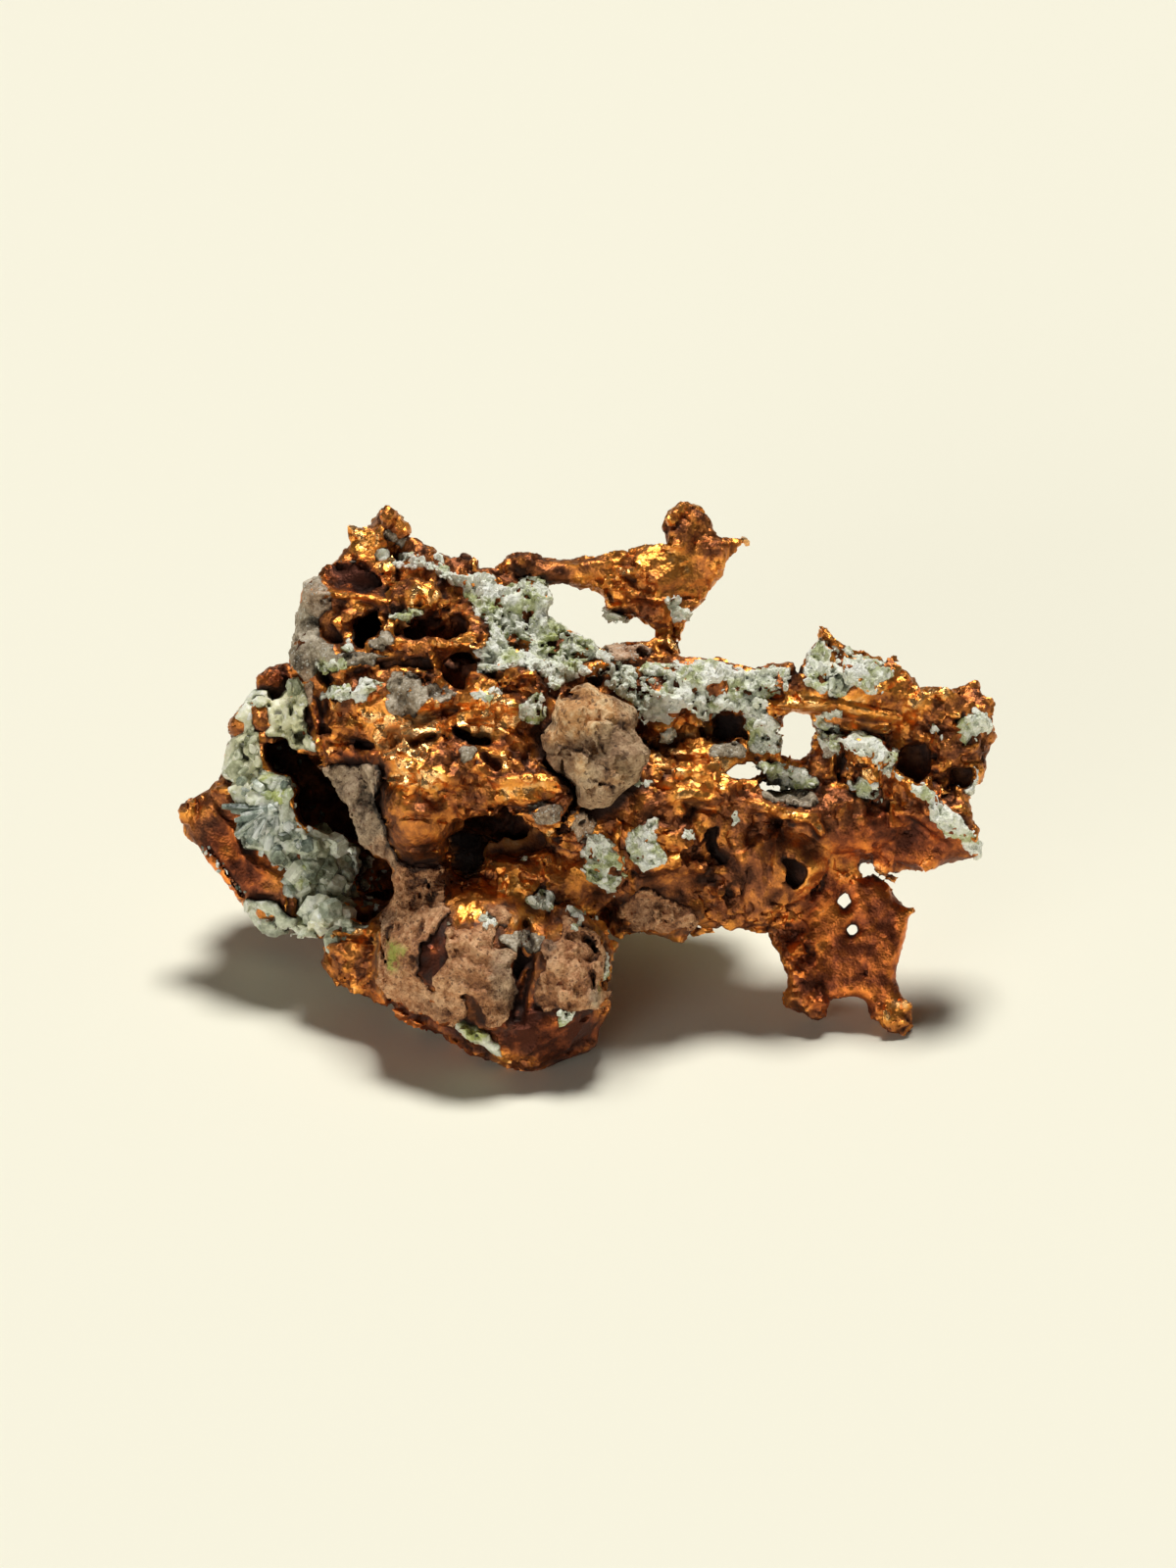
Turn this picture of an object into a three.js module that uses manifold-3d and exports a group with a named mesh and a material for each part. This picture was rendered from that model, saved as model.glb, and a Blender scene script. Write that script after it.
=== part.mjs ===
// Native copper on its matrix: a hackly, branching lump of copper about 100 mm wide. An arch and an openwork
// arm grow from its right side, a thin plate makes its right foot, a knob of brown rock is caught in its
// front, and pale green prehnite crystals line the hollow at its left.
//
// The specimen is shaped as it is seen from the front: x to the right, y up, z toward the viewer, in
// millimetres. The last group leans it back onto the table, with +Z up and its feet on z = 0.
import * as THREE from "three";
import { ImprovedNoise } from "three/addons/math/ImprovedNoise.js";
import { mergeVertices } from "three/addons/utils/BufferGeometryUtils.js";
import Module from "manifold-3d";

// Driving dimensions, in millimetres.
const VIEW_ELEVATION = THREE.MathUtils.degToRad(28); // how far the front view looks down on the table
const TABLE_HEIGHT = -27.2; // the table, as a height in the front view's frame
const SEAM = 0.3; // least clearance between pieces that grew against each other
const BED = 0.8; // the same, as drawn before the least clearance is cut
const MASS_CELL = 3.0; // spacing of the grid that the main body is drawn on
const BRANCH_CELL = 1.9; // the same for the thinner branches
const ROCK_CELL = 2.0; // the same for the rock knob
const CELL_MARGIN = 0.05; // how near a vertex may come to its grid cell's walls, as a share of the cell
const LEAST_SLOPE = 0.2; // least squared slope of a field that a vertex is moved by
const SPUR_SIDES = 5; // flat sides of a pointed spur
const TABLE_BLOCK = [200, 200, 20]; // a block as thick as this below the table cuts the feet flat

const wasm = await Module();
wasm.setup();
const perlin = new ImprovedNoise();
const UP = new THREE.Vector3(0, 1, 0);

// Fields: functions of a point that are negative inside the material, in millimetres from its surface.

/** An ellipsoid at a point, with its radii, turned in the picture plane by degrees. */
function lump([cx, cy, cz], [rx, ry, rz], turn = 0) {
  const cos = Math.cos(THREE.MathUtils.degToRad(turn));
  const sin = Math.sin(THREE.MathUtils.degToRad(turn));
  return (x, y, z) => {
    const dx = x - cx;
    const dy = y - cy;
    const u = (dx * cos + dy * sin) / rx;
    const v = (dy * cos - dx * sin) / ry;
    const w = (z - cz) / rz;
    const size = Math.hypot(u, v, w);
    const slope = Math.hypot(u / rx, v / ry, w / rz);
    return slope > 0 ? (size * (size - 1)) / slope : -Math.min(rx, ry, rz);
  };
}

/** A bent limb through points [x, y, z, radius]. */
function limb(...stops) {
  return (x, y, z) => {
    let nearest = Infinity;
    for (let i = 1; i < stops.length; i++) {
      const [ax, ay, az, ar] = stops[i - 1];
      const [bx, by, bz, br] = stops[i];
      const [ux, uy, uz] = [bx - ax, by - ay, bz - az];
      const along = ((x - ax) * ux + (y - ay) * uy + (z - az) * uz) / (ux * ux + uy * uy + uz * uz);
      const t = Math.min(1, Math.max(0, along));
      const gap = Math.hypot(x - ax - t * ux, y - ay - t * uy, z - az - t * uz);
      nearest = Math.min(nearest, gap - ar - t * (br - ar));
    }
    return nearest;
  };
}

/** Signed distance from a point to a closed outline in the picture plane. */
function outlineDistance(outline, x, y) {
  let nearest = Infinity;
  let inside = false;
  for (let i = 0, j = outline.length - 1; i < outline.length; j = i++) {
    const [ax, ay] = outline[i];
    const [bx, by] = outline[j];
    const [ux, uy] = [bx - ax, by - ay];
    const t = Math.min(1, Math.max(0, ((x - ax) * ux + (y - ay) * uy) / (ux * ux + uy * uy)));
    nearest = Math.min(nearest, Math.hypot(x - ax - t * ux, y - ay - t * uy));
    if (ay > y !== by > y && x < ((bx - ax) * (y - ay)) / (by - ay) + ax) inside = !inside;
  }
  return inside ? -nearest : nearest;
}

/** A plate with a rounded edge: an outline, its holes, half its thickness and its depth at a point. */
function plate(outline, { holes = [], half, depth }) {
  let last = [NaN, NaN];
  let edge = 0;
  return (x, y, z) => {
    if (x !== last[0] || y !== last[1]) {
      last = [x, y];
      edge = outlineDistance(outline, x, y);
      for (const hole of holes) edge = Math.max(edge, -outlineDistance(hole, x, y));
    }
    return Math.hypot(Math.max(half + edge, 0), z - depth(x, y)) - half;
  };
}

/** Joins fields, with a fillet of about the given size where they meet. */
function grown(blend, ...fields) {
  return (x, y, z) => {
    let joined = Infinity;
    for (const field of fields) {
      const other = field(x, y, z);
      const share = Math.max(blend - Math.abs(joined - other), 0) / blend;
      joined = Math.min(joined, other) - (share * share * blend) / 4;
    }
    return joined;
  };
}

/** Takes pits out of a field, with rims rounded by about the given size. */
function pitted(blend, field, ...pits) {
  const hollow = grown(blend, ...pits);
  return (x, y, z) => {
    const [solid, cut] = [field(x, y, z), -hollow(x, y, z)];
    const share = Math.max(blend - Math.abs(solid - cut), 0) / blend;
    return Math.max(solid, cut) + (share * share * blend) / 4;
  };
}

/** Roughens a field with lumps of a height and a spacing. */
function rough(field, height, spacing) {
  return (x, y, z) => {
    const near = field(x, y, z);
    if (Math.abs(near) > 4 * (height + 1)) return near;
    return near + height * perlin.noise(x / spacing, y / spacing, z / spacing);
  };
}

// Skins: closed surfaces drawn around fields.

/** A field's values on a grid, changed only where two opposite corners of a grid face are inside. */
function sampled(field, low, count, cell) {
  const index = (i, j, k) => (i * count[1] + j) * count[2] + k;
  const values = new Float32Array(count[0] * count[1] * count[2]);
  for (let i = 0; i < count[0]; i++)
    for (let j = 0; j < count[1]; j++)
      for (let k = 0; k < count[2]; k++)
        values[index(i, j, k)] = field(low[0] + i * cell, low[1] + j * cell, low[2] + k * cell);
  const steps = [index(1, 0, 0), index(0, 1, 0), index(0, 0, 1)];
  let changed = true;
  while (changed) {
    changed = false;
    for (const [s, t] of [[steps[0], steps[1]], [steps[1], steps[2]], [steps[2], steps[0]]])
      for (let n = 0; n + s + t < values.length; n++) {
        const inside = [values[n] < 0, values[n + s] < 0, values[n + t] < 0, values[n + s + t] < 0];
        if (inside[0] === inside[3] && inside[1] === inside[2] && inside[0] !== inside[1]) {
          const corner = inside[0] ? n + s : n;
          values[corner] = -0.01;
          changed = true;
        }
      }
  }
  return { values, index };
}

/** The surface where a field crosses zero inside a box, with one vertex in each grid cell it goes through. */
function skin(field, { low, high, cell }) {
  const count = low.map((start, axis) => Math.ceil((high[axis] - start) / cell) + 1);
  const { values, index } = sampled(field, low, count, cell);
  const steps = [index(1, 0, 0), index(0, 1, 0), index(0, 0, 1)];
  const vertexOf = new Map();
  const positions = [];
  for (let i = 0; i + 1 < count[0]; i++)
    for (let j = 0; j + 1 < count[1]; j++)
      for (let k = 0; k + 1 < count[2]; k++) {
        const middle = crossing(values, index(i, j, k), steps);
        if (!middle) continue;
        vertexOf.set(index(i, j, k), positions.length / 3);
        const start = [i, j, k].map((n, axis) => low[axis] + n * cell);
        positions.push(...settled(field, start, middle, cell));
      }
  const triangles = [];
  for (let n = 0; n < values.length; n++)
    for (let axis = 0; axis < 3; axis++) {
      const inside = values[n] < 0;
      if (n + steps[axis] >= values.length || inside === values[n + steps[axis]] < 0) continue;
      const [s, t] = [steps[(axis + 1) % 3], steps[(axis + 2) % 3]];
      const ring = [n, n - s, n - s - t, n - t].map((cellIndex) => vertexOf.get(cellIndex));
      if (ring.some((vertex) => vertex === undefined)) continue;
      if (!inside) ring.reverse();
      triangles.push(ring[0], ring[1], ring[2], ring[0], ring[2], ring[3]);
    }
  const geometry = new THREE.BufferGeometry();
  geometry.setAttribute("position", new THREE.Float32BufferAttribute(positions, 3));
  geometry.setIndex(triangles);
  return geometry;
}

/** Where a surface crosses a grid cell, as the mean of its crossings of the cell's edges, or null. */
function crossing(values, corner, steps) {
  const sum = [0, 0, 0];
  let crossings = 0;
  for (let axis = 0; axis < 3; axis++) {
    const [b, c] = [(axis + 1) % 3, (axis + 2) % 3];
    for (const [onB, onC] of [[0, 0], [1, 0], [0, 1], [1, 1]]) {
      const start = corner + onB * steps[b] + onC * steps[c];
      const [from, to] = [values[start], values[start + steps[axis]]];
      if (from < 0 === to < 0) continue;
      sum[axis] += from / (from - to);
      sum[b] += onB;
      sum[c] += onC;
      crossings++;
    }
  }
  return crossings ? sum.map((total) => total / crossings) : null;
}

/** The surface point near the middle of a cell's crossings, kept inside its own cell. */
function settled(field, start, middle, cell) {
  const [x, y, z] = middle.map((share, axis) => start[axis] + share * cell);
  const h = cell / 6;
  const slope = new THREE.Vector3(
    field(x + h, y, z) - field(x - h, y, z),
    field(x, y + h, z) - field(x, y - h, z),
    field(x, y, z + h) - field(x, y, z - h),
  ).divideScalar(2 * h);
  const step = slope.multiplyScalar(-field(x, y, z) / Math.max(slope.lengthSq(), LEAST_SLOPE));
  const low = new THREE.Vector3(...start).addScalar(CELL_MARGIN * cell);
  const high = new THREE.Vector3(...start).addScalar((1 - CELL_MARGIN) * cell);
  return step.add(new THREE.Vector3(x, y, z)).clamp(low, high).toArray();
}

/** A closed geometry as a solid that can be joined and cut. */
function solid(geometry) {
  const bare = geometry.clone().deleteAttribute("normal").deleteAttribute("uv");
  const merged = mergeVertices(bare, 1e-4);
  return new wasm.Manifold(
    new wasm.Mesh({
      numProp: 3,
      vertProperties: merged.attributes.position.array,
      triVerts: new Uint32Array(merged.index.array),
    }),
  );
}

/** A solid and a seam's width all round it: copies of it moved to a small cube's corners, and joined. */
function withSeam(made) {
  const sides = [-SEAM, SEAM];
  const moved = sides.flatMap((x) => sides.flatMap((y) => sides.map((z) => made.translate([x, y, z]))));
  return moved.reduce((joined, copy) => joined.add(copy));
}

/** A solid with pointed spurs fused to it, each from a root point to a tip, with its root's radius. */
function spurred(made, spurs) {
  return spurs.reduce((joined, { root, tip, radius }) => {
    const [from, to] = [new THREE.Vector3(...root), new THREE.Vector3(...tip)];
    const along = to.clone().sub(from);
    const turn = new THREE.Quaternion().setFromUnitVectors(UP, along.clone().normalize());
    const cone = new THREE.ConeGeometry(radius, along.length(), SPUR_SIDES);
    cone.translate(0, along.length() / 2, 0).applyQuaternion(turn).translate(...root);
    return joined.add(solid(cone));
  }, made);
}

/** The largest body of a solid, which leaves out crumbs that a cut set free. */
const largest = (made) => made.decompose().reduce((a, b) => (a.volume() > b.volume() ? a : b));

/** A named mesh of a solid, in its mineral's material. */
function piece(name, made, material) {
  const { vertProperties, triVerts } = made.getMesh();
  const geometry = new THREE.BufferGeometry();
  geometry.setAttribute("position", new THREE.BufferAttribute(vertProperties, 3));
  geometry.setIndex(new THREE.BufferAttribute(triVerts, 1));
  geometry.computeVertexNormals();
  const mesh = new THREE.Mesh(geometry, material);
  mesh.name = name;
  return mesh;
}

// The main body of copper, from the back to the front.

/** The left cup, whose copper rim ends in a pointed fin. */
const FIN_OUTLINE = [
  [-44.6, 0.9], [-47.5, -1.2], [-50.4, -3.1], [-49.3, -4.4], [-49.6, -5.8], [-47, -9.6], [-43.2, -14],
  [-39, -14.5], [-36.8, -16.4], [-35.8, -14], [-37.2, -10.8], [-40, -8.4], [-42.6, -7.4], [-42.4, -3],
];
const cup = grown(
  2,
  lump([-36.3, -3, -13], [9.3, 14.4, 11]),
  lump([-39.6, 4, -12], [4.6, 7, 6.5]),
  lump([-38.5, 12.9, -10], [2.5, 1.8, 2.5], 20),
  lump([-43.3, 7, -9], [1.2, 1.2, 1.4]),
  lump([-38.8, -11.4, -13], [5.2, 5.8, 8], 30),
  plate(FIN_OUTLINE, { half: 2.3, depth: (x, y) => -6.5 + 0.25 * (x + 43) - 0.1 * (y + 7) }),
);

/** The upper left block, from the rind at its left edge to the peak. */
const upperBlock = grown(
  2,
  lump([-27.4, 18, -10], [8, 9.2, 11]),
  lump([-33.6, 22.8, -5], [2.3, 3.2, 4]),
  lump([-34.1, 16.2, -4], [2.6, 3, 4.5]),
  lump([-33.6, 10.6, -4], [2.2, 4, 5]),
  limb([-26.5, 25, -10, 4.8], [-26.8, 29, -9, 2.7]),
  lump([-24.8, 32.3, -9], [2.1, 2, 2.2], -30),
  lump([-28.4, 31, -8.5], [1.3, 1.1, 1.2]),
  limb([-23, 29.6, -9, 2.2], [-20, 27.2, -8, 2.4], [-15.5, 25.2, -7, 2.3]),
  limb([-15.4, 28.2, -7, 0.7], [-14.8, 26, -7, 1.5]),
  lump([-20.6, 22.8, 0], [2.9, 2.4, 3.4]),
  limb([-30.5, 16.2, 1, 1.6], [-23, 16.4, 3, 1.5], [-15.5, 17, 3, 1.4]),
);

/** The ridge that falls from the upper block to the root of the arm. */
const ridge = grown(
  2,
  limb([-20, 22.6, -8, 4.6], [-12.5, 21.4, -6, 4.4], [-7.8, 21.2, -6, 3.6]),
  limb([-9, 17.4, -5, 3], [1, 12.4, -3, 4.2], [9, 10.2, -2, 4.6]),
  limb([9, 10.2, -2, 4.6], [16, 10.6, -2, 4.4], [20.5, 10.4, -3, 3.2]),
  limb([-8, 18.4, -6, 1.7], [0, 15.4, -6, 1.6], [7.6, 16.2, -6, 1.5]),
  lump([-13.6, 18, 1], [2, 1.9, 2.4]),
);

/** The middle of the body: the front above the shelf, the slope to the right and the belly. */
const middle = grown(
  3,
  lump([-24, 10, -4], [9, 7.5, 12]),
  lump([-9.5, 8, -2], [10, 8.5, 11]),
  lump([-12, 5, -15], [19, 14, 13]),
  lump([4, -6, 0], [11, 9.5, 9.5]),
  lump([-7, -11.5, 1], [9, 5, 8.5]),
  lump([14.5, -4, -2], [9.5, 11, 8.5]),
  lump([22.5, -8.5, -1], [7.5, 8, 6.5]),
  lump([25.4, -9.8, 3], [3.4, 3.4, 3.6]),
  lump([6, -1, -10], [16, 11, 10]),
  limb([4.5, -14.4, -1, 3.1], [13, -14.8, 0, 2.9], [21.5, -14.4, 1, 3.5]),
  lump([8.6, -15.2, 3.2], [3.8, 2.4, 2]),
);

/** The shelf with its snout, the beam under the rock knob and the wall down to the lower lump. */
const shelf = grown(
  2,
  lump([-16, 1.8, 4], [11, 3.4, 11]),
  lump([-20.3, -3.4, 5], [5, 6.6, 11]),
  limb([-15, -0.9, 12, 2.6], [-8, -0.6, 12, 2.3], [-3.4, -1.6, 11, 2.3]),
  lump([-5.2, -3.4, 12.2], [2.6, 1.6, 1.8]),
  limb([-28.6, 3, 1, 3.2], [-26.6, -4, 3, 3.1], [-22.2, -11, 6, 2.7]),
  limb([-22, -12, 5, 2.4], [-19, -14.5, 6, 4], [-14, -15, 5, 4.5]),
);

/** The lower lump at the front, which the specimen stands on. */
const lowerLump = grown(
  2,
  lump([-14, -21.8, 6], [11.2, 9.6, 11]),
  lump([-3, -23.4, 6.5], [5.8, 8.8, 8.5]),
  lump([-8, -29.4, 7], [8.2, 4.9, 8]),
  limb([-29, -20.8, -1, 3.6], [-24, -23, 1, 3.5], [-14, -28.4, 4, 3.6], [-6, -31, 7, 3.2]),
  lump([-28.2, -17.4, -5], [5.6, 3.4, 6]),
  lump([-24, -17, -4], [4.5, 4, 6]),
);

/** The back of the body and the stub that it rests on behind. */
const back = grown(
  3,
  lump([-14, -1, -22], [17, 12, 9]),
  lump([-29, -12, -18], [7.5, 7.5, 5.5]),
  limb([-20, -5, -24, 7], [-25, -11.5, -32.2, 4.2]),
);

/** Straight wells toward the back of the left hollow: [x, y, radius]. */
const WELLS = [
  [-37.8, 3.8, 1.6], [-35.2, 1.4, 2.7], [-33.4, -2, 3.2], [-31, -5.2, 2.7], [-28.4, -8.8, 1.8],
  [-26.8, -12, 2.9],
];
const leftHollow = WELLS.map(([x, y, radius]) => limb([x, y, 8, radius], [x + 1.5, y, -12, radius]));

/** The other hollows in the front of the main body. */
const frontHollows = [
  limb([-14.4, -8.2, 18, 2.4], [-15.2, -8.6, -3, 2.2]),
  lump([-8.4, -6.3, 13], [5, 2, 7], 4),
  limb([-26.8, 19.2, 6, 1.9], [-27.5, 18.8, -12, 1.7]),
  lump([-29.3, 22.8, 1], [3.6, 2.4, 5], 20),
  limb([-21.5, 19.4, 4, 1.4], [-15, 19.4, 4, 1.2]),
  limb([-16, 14, 10, 2], [-15, 14.2, -1, 1.8]),
  limb([-14.6, 5.8, 12, 1.4], [-11, 3.6, 4, 1.5]),
  limb([16.6, 7.2, 8, 2.1], [16.4, 7, -7, 2]),
  limb([15.2, -5.6, 9, 1], [15.2, -8.6, 6, 1.1]),
  limb([-8, -20.8, 19, 1], [-7, -26, 17, 0.9]),
];

const wholeMass = grown(2.2, middle, back, upperBlock, ridge, cup, lowerLump, shelf);
const massField = rough(pitted(1.2, wholeMass, ...leftHollow, ...frontHollows), 1.3, 5.5);
/** The points that the fin and the peak end in. */
const MASS_SPURS = [
  { root: [-46, -4.2, -7.5], tip: [-50.7, -3, -8.4], radius: 2 },
  { root: [-25.6, 31, -9], tip: [-25.4, 35.2, -9], radius: 1.6 },
  { root: [-27.4, 28.8, -9], tip: [-29.8, 31.6, -9], radius: 1.5 },
  { root: [-16, 25, -7], tip: [-15.3, 29.2, -7], radius: 1.5 },
  { root: [-36.5, 12.4, -10], tip: [-40.9, 13.6, -10], radius: 1.8 },
];
const massBox = { low: [-53, -37, -40], high: [34, 37, 22], cell: MASS_CELL };

// The branches, whose outlines are drawn in the picture plane.

/** The arch: a bar with a body, a knob with a beak, and a leg back down to the ridge. */
const ARCH_OUTLINE = [
  [-11.3, 24.6], [-10.6, 27], [-8.6, 29.2], [-5.2, 27.8], [0, 28.3], [5, 29.1], [10.5, 29.1],
  [9.3, 31.8], [10.6, 34.2], [12.2, 34.7], [14, 33.8], [16.2, 31.3], [18.8, 31.1], [20.1, 29.9],
  [18.5, 28.9], [16.6, 27.8], [16.2, 26.3], [14.6, 23.4], [11.7, 20.4], [11.4, 18], [11.9, 14.6],
  [7.8, 14.6], [8.4, 18.8], [6.6, 18.6], [5.3, 19.9], [2.2, 20.5], [1.5, 21.8], [2.1, 23.2],
  [-1.3, 23.4], [-4.2, 24.4], [-4.8, 22], [-9, 21.6],
];
const archField = rough(
  grown(
    1.2,
    plate(ARCH_OUTLINE, { half: 2.1, depth: (x, y) => -9 + Math.max(0, (20 - y) * 0.7) }),
    lump([12.3, 32, -9], [2.4, 2.3, 2.5]),
    lump([8, 25, -8.6], [4.5, 3.6, 3]),
    lump([-8.4, 26.6, -8.6], [2.6, 2.3, 2.8]),
  ),
  0.5,
  2.6,
);
const archBox = { low: [-15, 11, -16], high: [23, 38, 0], cell: BRANCH_CELL };

/** The openwork arm: an upper beam, a pocket at the far end, and a lower plate that ends in two points. */
const ARM_OUTLINE = [
  [19, 13.2], [22, 14.5], [25, 14.8], [25.3, 13], [26.4, 13.2], [26.3, 15.5], [28, 19.5], [30.5, 17.5],
  [35, 15.4], [37.4, 15.7], [39.8, 12.2], [46.2, 11.6], [47.6, 12.6], [50, 9.2], [49.3, 7.6], [50.4, 6.2],
  [49, 4], [48, 0.2], [46, -1.8], [46.4, -4.4], [47.6, -6], [48.3, -8.3], [43, -10], [39, -11.3],
  [38, -12.3], [36, -10.7], [35, -9.4], [33.4, -9.3], [31, -11], [24, -9], [20, -3], [18, 3], [18, 9],
];
const ARM_WINDOWS = [
  [[23.4, 8.2], [24.6, 8.9], [27.5, 6.9], [27.2, 4.2], [25.6, 3.1], [23.9, 4], [24.2, 6]],
  [[16.6, 2.6], [21, 2.2], [20.4, 1], [18.2, 1.1]],
  [[21.2, 0.2], [25.6, 0.3], [24.6, -1], [22.4, -1]],
];
const armField = rough(
  pitted(
    0.8,
    grown(
      1.2,
      plate(ARM_OUTLINE, { holes: ARM_WINDOWS, half: 3, depth: (x) => -1 + 0.02 * (x - 20) }),
      limb([21, 10.8, -1, 3], [31, 12.4, 0, 3.6], [37, 11.6, 0, 3.4], [46.5, 8.8, -1, 2.6]),
      limb([33, 4.4, 2, 2.4], [40, -1.2, 3, 2.6], [46, -6, 2, 1.8]),
      limb([48, 6, -2, 1.8], [46.8, 1.6, -2, 1.8]),
      lump([30, 6, -4], [2.6, 3, 4]),
      lump([30, -4.5, 1.5], [9, 4, 4]),
      limb([21, -2.6, 4, 1.5], [27.4, -4.4, 5, 1.2]),
    ),
    lump([41.2, 2.6, 4], [3.2, 2.4, 5], -20),
    lump([45, 1.2, 3], [1.9, 1.5, 3.5]),
    limb([45.8, 7.8, 5, 0.9], [45.6, 7.8, -1, 0.9]),
  ),
  0.6,
  2.8,
);
/** The points that the arm's edges end in. */
const ARM_SPURS = [
  { root: [28.6, 15, -1], tip: [27.9, 19.7, -1], radius: 1.9 },
  { root: [46, 10.6, -1], tip: [47.8, 13, -1], radius: 1.6 },
  { root: [47.5, 8.4, -1], tip: [50.3, 9.4, -1], radius: 1.3 },
  { root: [45.4, -7.2, 0], tip: [48.7, -8.5, 0], radius: 1.5 },
  { root: [38, -9.6, -1], tip: [38, -12.4, -1], radius: 1.5 },
  { root: [24, 12, -1], tip: [24.4, 15.2, -1], radius: 1.5 },
];
const armBox = { low: [13, -16, -12], high: [54, 23, 11], cell: BRANCH_CELL };

/** The foot: a thin plate with a notched lower edge, and a thicker stem down its left side. */
const FOOT_OUTLINE = [
  [21, -12], [27, -9.5], [32.6, -10.8], [35, -11.6], [38.8, -14.9], [40.5, -15.2], [39, -18.5],
  [37.9, -24], [39.8, -27.2], [39.7, -29.6], [38.7, -31], [35.4, -29.2], [33.9, -26.4], [31.6, -25.8],
  [29.4, -27], [28.1, -28.8], [24.1, -27.2], [23.6, -25.8], [24.4, -23], [23.2, -19.8], [20, -16],
];
const FOOT_HOLE = [[31.4, -13.4], [32.2, -14.3], [31.4, -15.2], [30.6, -14.3]];
const footField = rough(
  grown(
    1.2,
    plate(FOOT_OUTLINE, { holes: [FOOT_HOLE], half: 1.8, depth: (x, y) => -0.8 - 0.04 * (y + 20) }),
    limb([25.6, -14, -0.4, 2.8], [26.2, -22, -0.4, 2.1], [26.6, -26.4, -0.4, 1.8]),
    lump([37.6, -28.8, -0.9], [1.9, 1.9, 2.2]),
  ),
  0.4,
  2.6,
);
/** The points of the foot's upper and lower corners. */
const FOOT_SPURS = [
  { root: [37.6, -16.4, -1], tip: [40.5, -15, -1.2], radius: 1.4 },
  { root: [25.2, -25.4, -0.5], tip: [23.4, -26, -0.5], radius: 1.3 },
];
const footBox = { low: [16, -35, -6], high: [44, -5, 9], cell: BRANCH_CELL };

/** The knob of brown rock that the copper grew around. */
const knobField = rough(
  grown(
    1.5,
    lump([0.6, 6, 9], [6.2, 6.4, 7]),
    lump([1.6, 1.8, 10], [6.6, 4.8, 7]),
    lump([3.2, -0.8, 9], [4.4, 2.8, 5]),
  ),
  0.9,
  3.6,
);
const knobBox = { low: [-9, -7, -2], high: [11, 16, 21], cell: ROCK_CELL };

// The prehnite crystals that line the left hollow.

/** Clusters of the crust: the points that each one runs between, and its crystals' size and number. */
const CLUSTERS = [
  { from: [-38, 11.3, -3.6], to: [-35.8, 5.5, 0.4], size: 3.2, count: 4 },
  { from: [-42.2, 7.5, -4.6], to: [-41.8, 1, -3.6], size: 3.1, count: 4 },
  { from: [-41, 0.2, -2.6], to: [-40.4, -6.5, -2], size: 3, count: 4 },
  { from: [-38, -1.5, -2.6], to: [-36.6, -7.5, -2], size: 2.5, count: 4 },
  { from: [-37.4, -9, -1.2], to: [-34.4, -15, -0.8], size: 2.9, count: 5 },
  { from: [-34.2, -8, -2.2], to: [-31.4, -13.8, -1.6], size: 2.6, count: 4 },
];

/** Blocky crystals in a row along each cluster, each turned its own way, fused with the layer under them. */
function prehniteCrust() {
  const unit = new THREE.IcosahedronGeometry(1, 0);
  const crystals = [];
  for (const { from, to, size, count } of CLUSTERS)
    for (let n = 0; n < count; n++) {
      const turn = n * 2.4 + from[0];
      const along = new THREE.Vector3(...from).lerp(new THREE.Vector3(...to), n / (count - 1));
      along.x += Math.sin(turn) * size * 0.55;
      along.z += Math.cos(turn) * size * 0.35;
      const shape = new THREE.Matrix4().compose(
        along,
        new THREE.Quaternion().setFromEuler(new THREE.Euler(turn, turn * 1.7, turn * 0.6)),
        new THREE.Vector3(size, size * 0.7, size * 1.15),
      );
      crystals.push(solid(unit.clone().applyMatrix4(shape)));
    }
  return crystals.reduce((crust, crystal) => crust.add(crystal));
}

// Minerals.

const copper = new THREE.MeshStandardMaterial({ color: 0xb4622d, roughness: 0.4, metalness: 1 });
const rock = new THREE.MeshStandardMaterial({ color: 0x8a6a52, roughness: 0.9, metalness: 0 });
const prehnite = new THREE.MeshStandardMaterial({ color: 0xa9b59c, roughness: 0.35, metalness: 0 });

// The pieces, each cut to clear the main body that it grew on.

const lean = new THREE.Matrix4().makeRotationX(Math.PI / 2 - VIEW_ELEVATION);
const tableBlock = new THREE.BoxGeometry(...TABLE_BLOCK).translate(0, 0, TABLE_HEIGHT - TABLE_BLOCK[2] / 2);
const table = solid(tableBlock.applyMatrix4(lean.clone().invert()));

const body = spurred(solid(skin(massField, massBox)), MASS_SPURS);
const mass = largest(body.subtract(table));
const massBed = solid(skin((x, y, z) => massField(x, y, z) - BED, massBox)).add(withSeam(mass));
const fitted = (made, ...neighbours) =>
  largest(neighbours.reduce((left, other) => left.subtract(withSeam(other)), made.subtract(massBed)));

const arm = fitted(spurred(solid(skin(armField, armBox)), ARM_SPURS));
const arch = fitted(solid(skin(archField, archBox)), arm);
const foot = fitted(spurred(solid(skin(footField, footBox)), FOOT_SPURS).subtract(table), arm);
const knob = fitted(solid(skin(knobField, knobBox)));
const crust = fitted(prehniteCrust());

const specimen = new THREE.Group();
specimen.add(
  piece("copper_mass", mass, copper),
  piece("copper_arch", arch, copper),
  piece("copper_arm", arm, copper),
  piece("copper_foot", foot, copper),
  piece("rock_knob", knob, rock),
  piece("prehnite_crust", crust, prehnite),
);
specimen.setRotationFromMatrix(lean);
specimen.updateMatrixWorld(true);

const extent = new THREE.Box3().setFromObject(specimen, true);
const centre = extent.getCenter(new THREE.Vector3());
specimen.position.set(-centre.x, -centre.y, -TABLE_HEIGHT);

const part = new THREE.Group();
part.add(specimen);
export default part;
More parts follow.
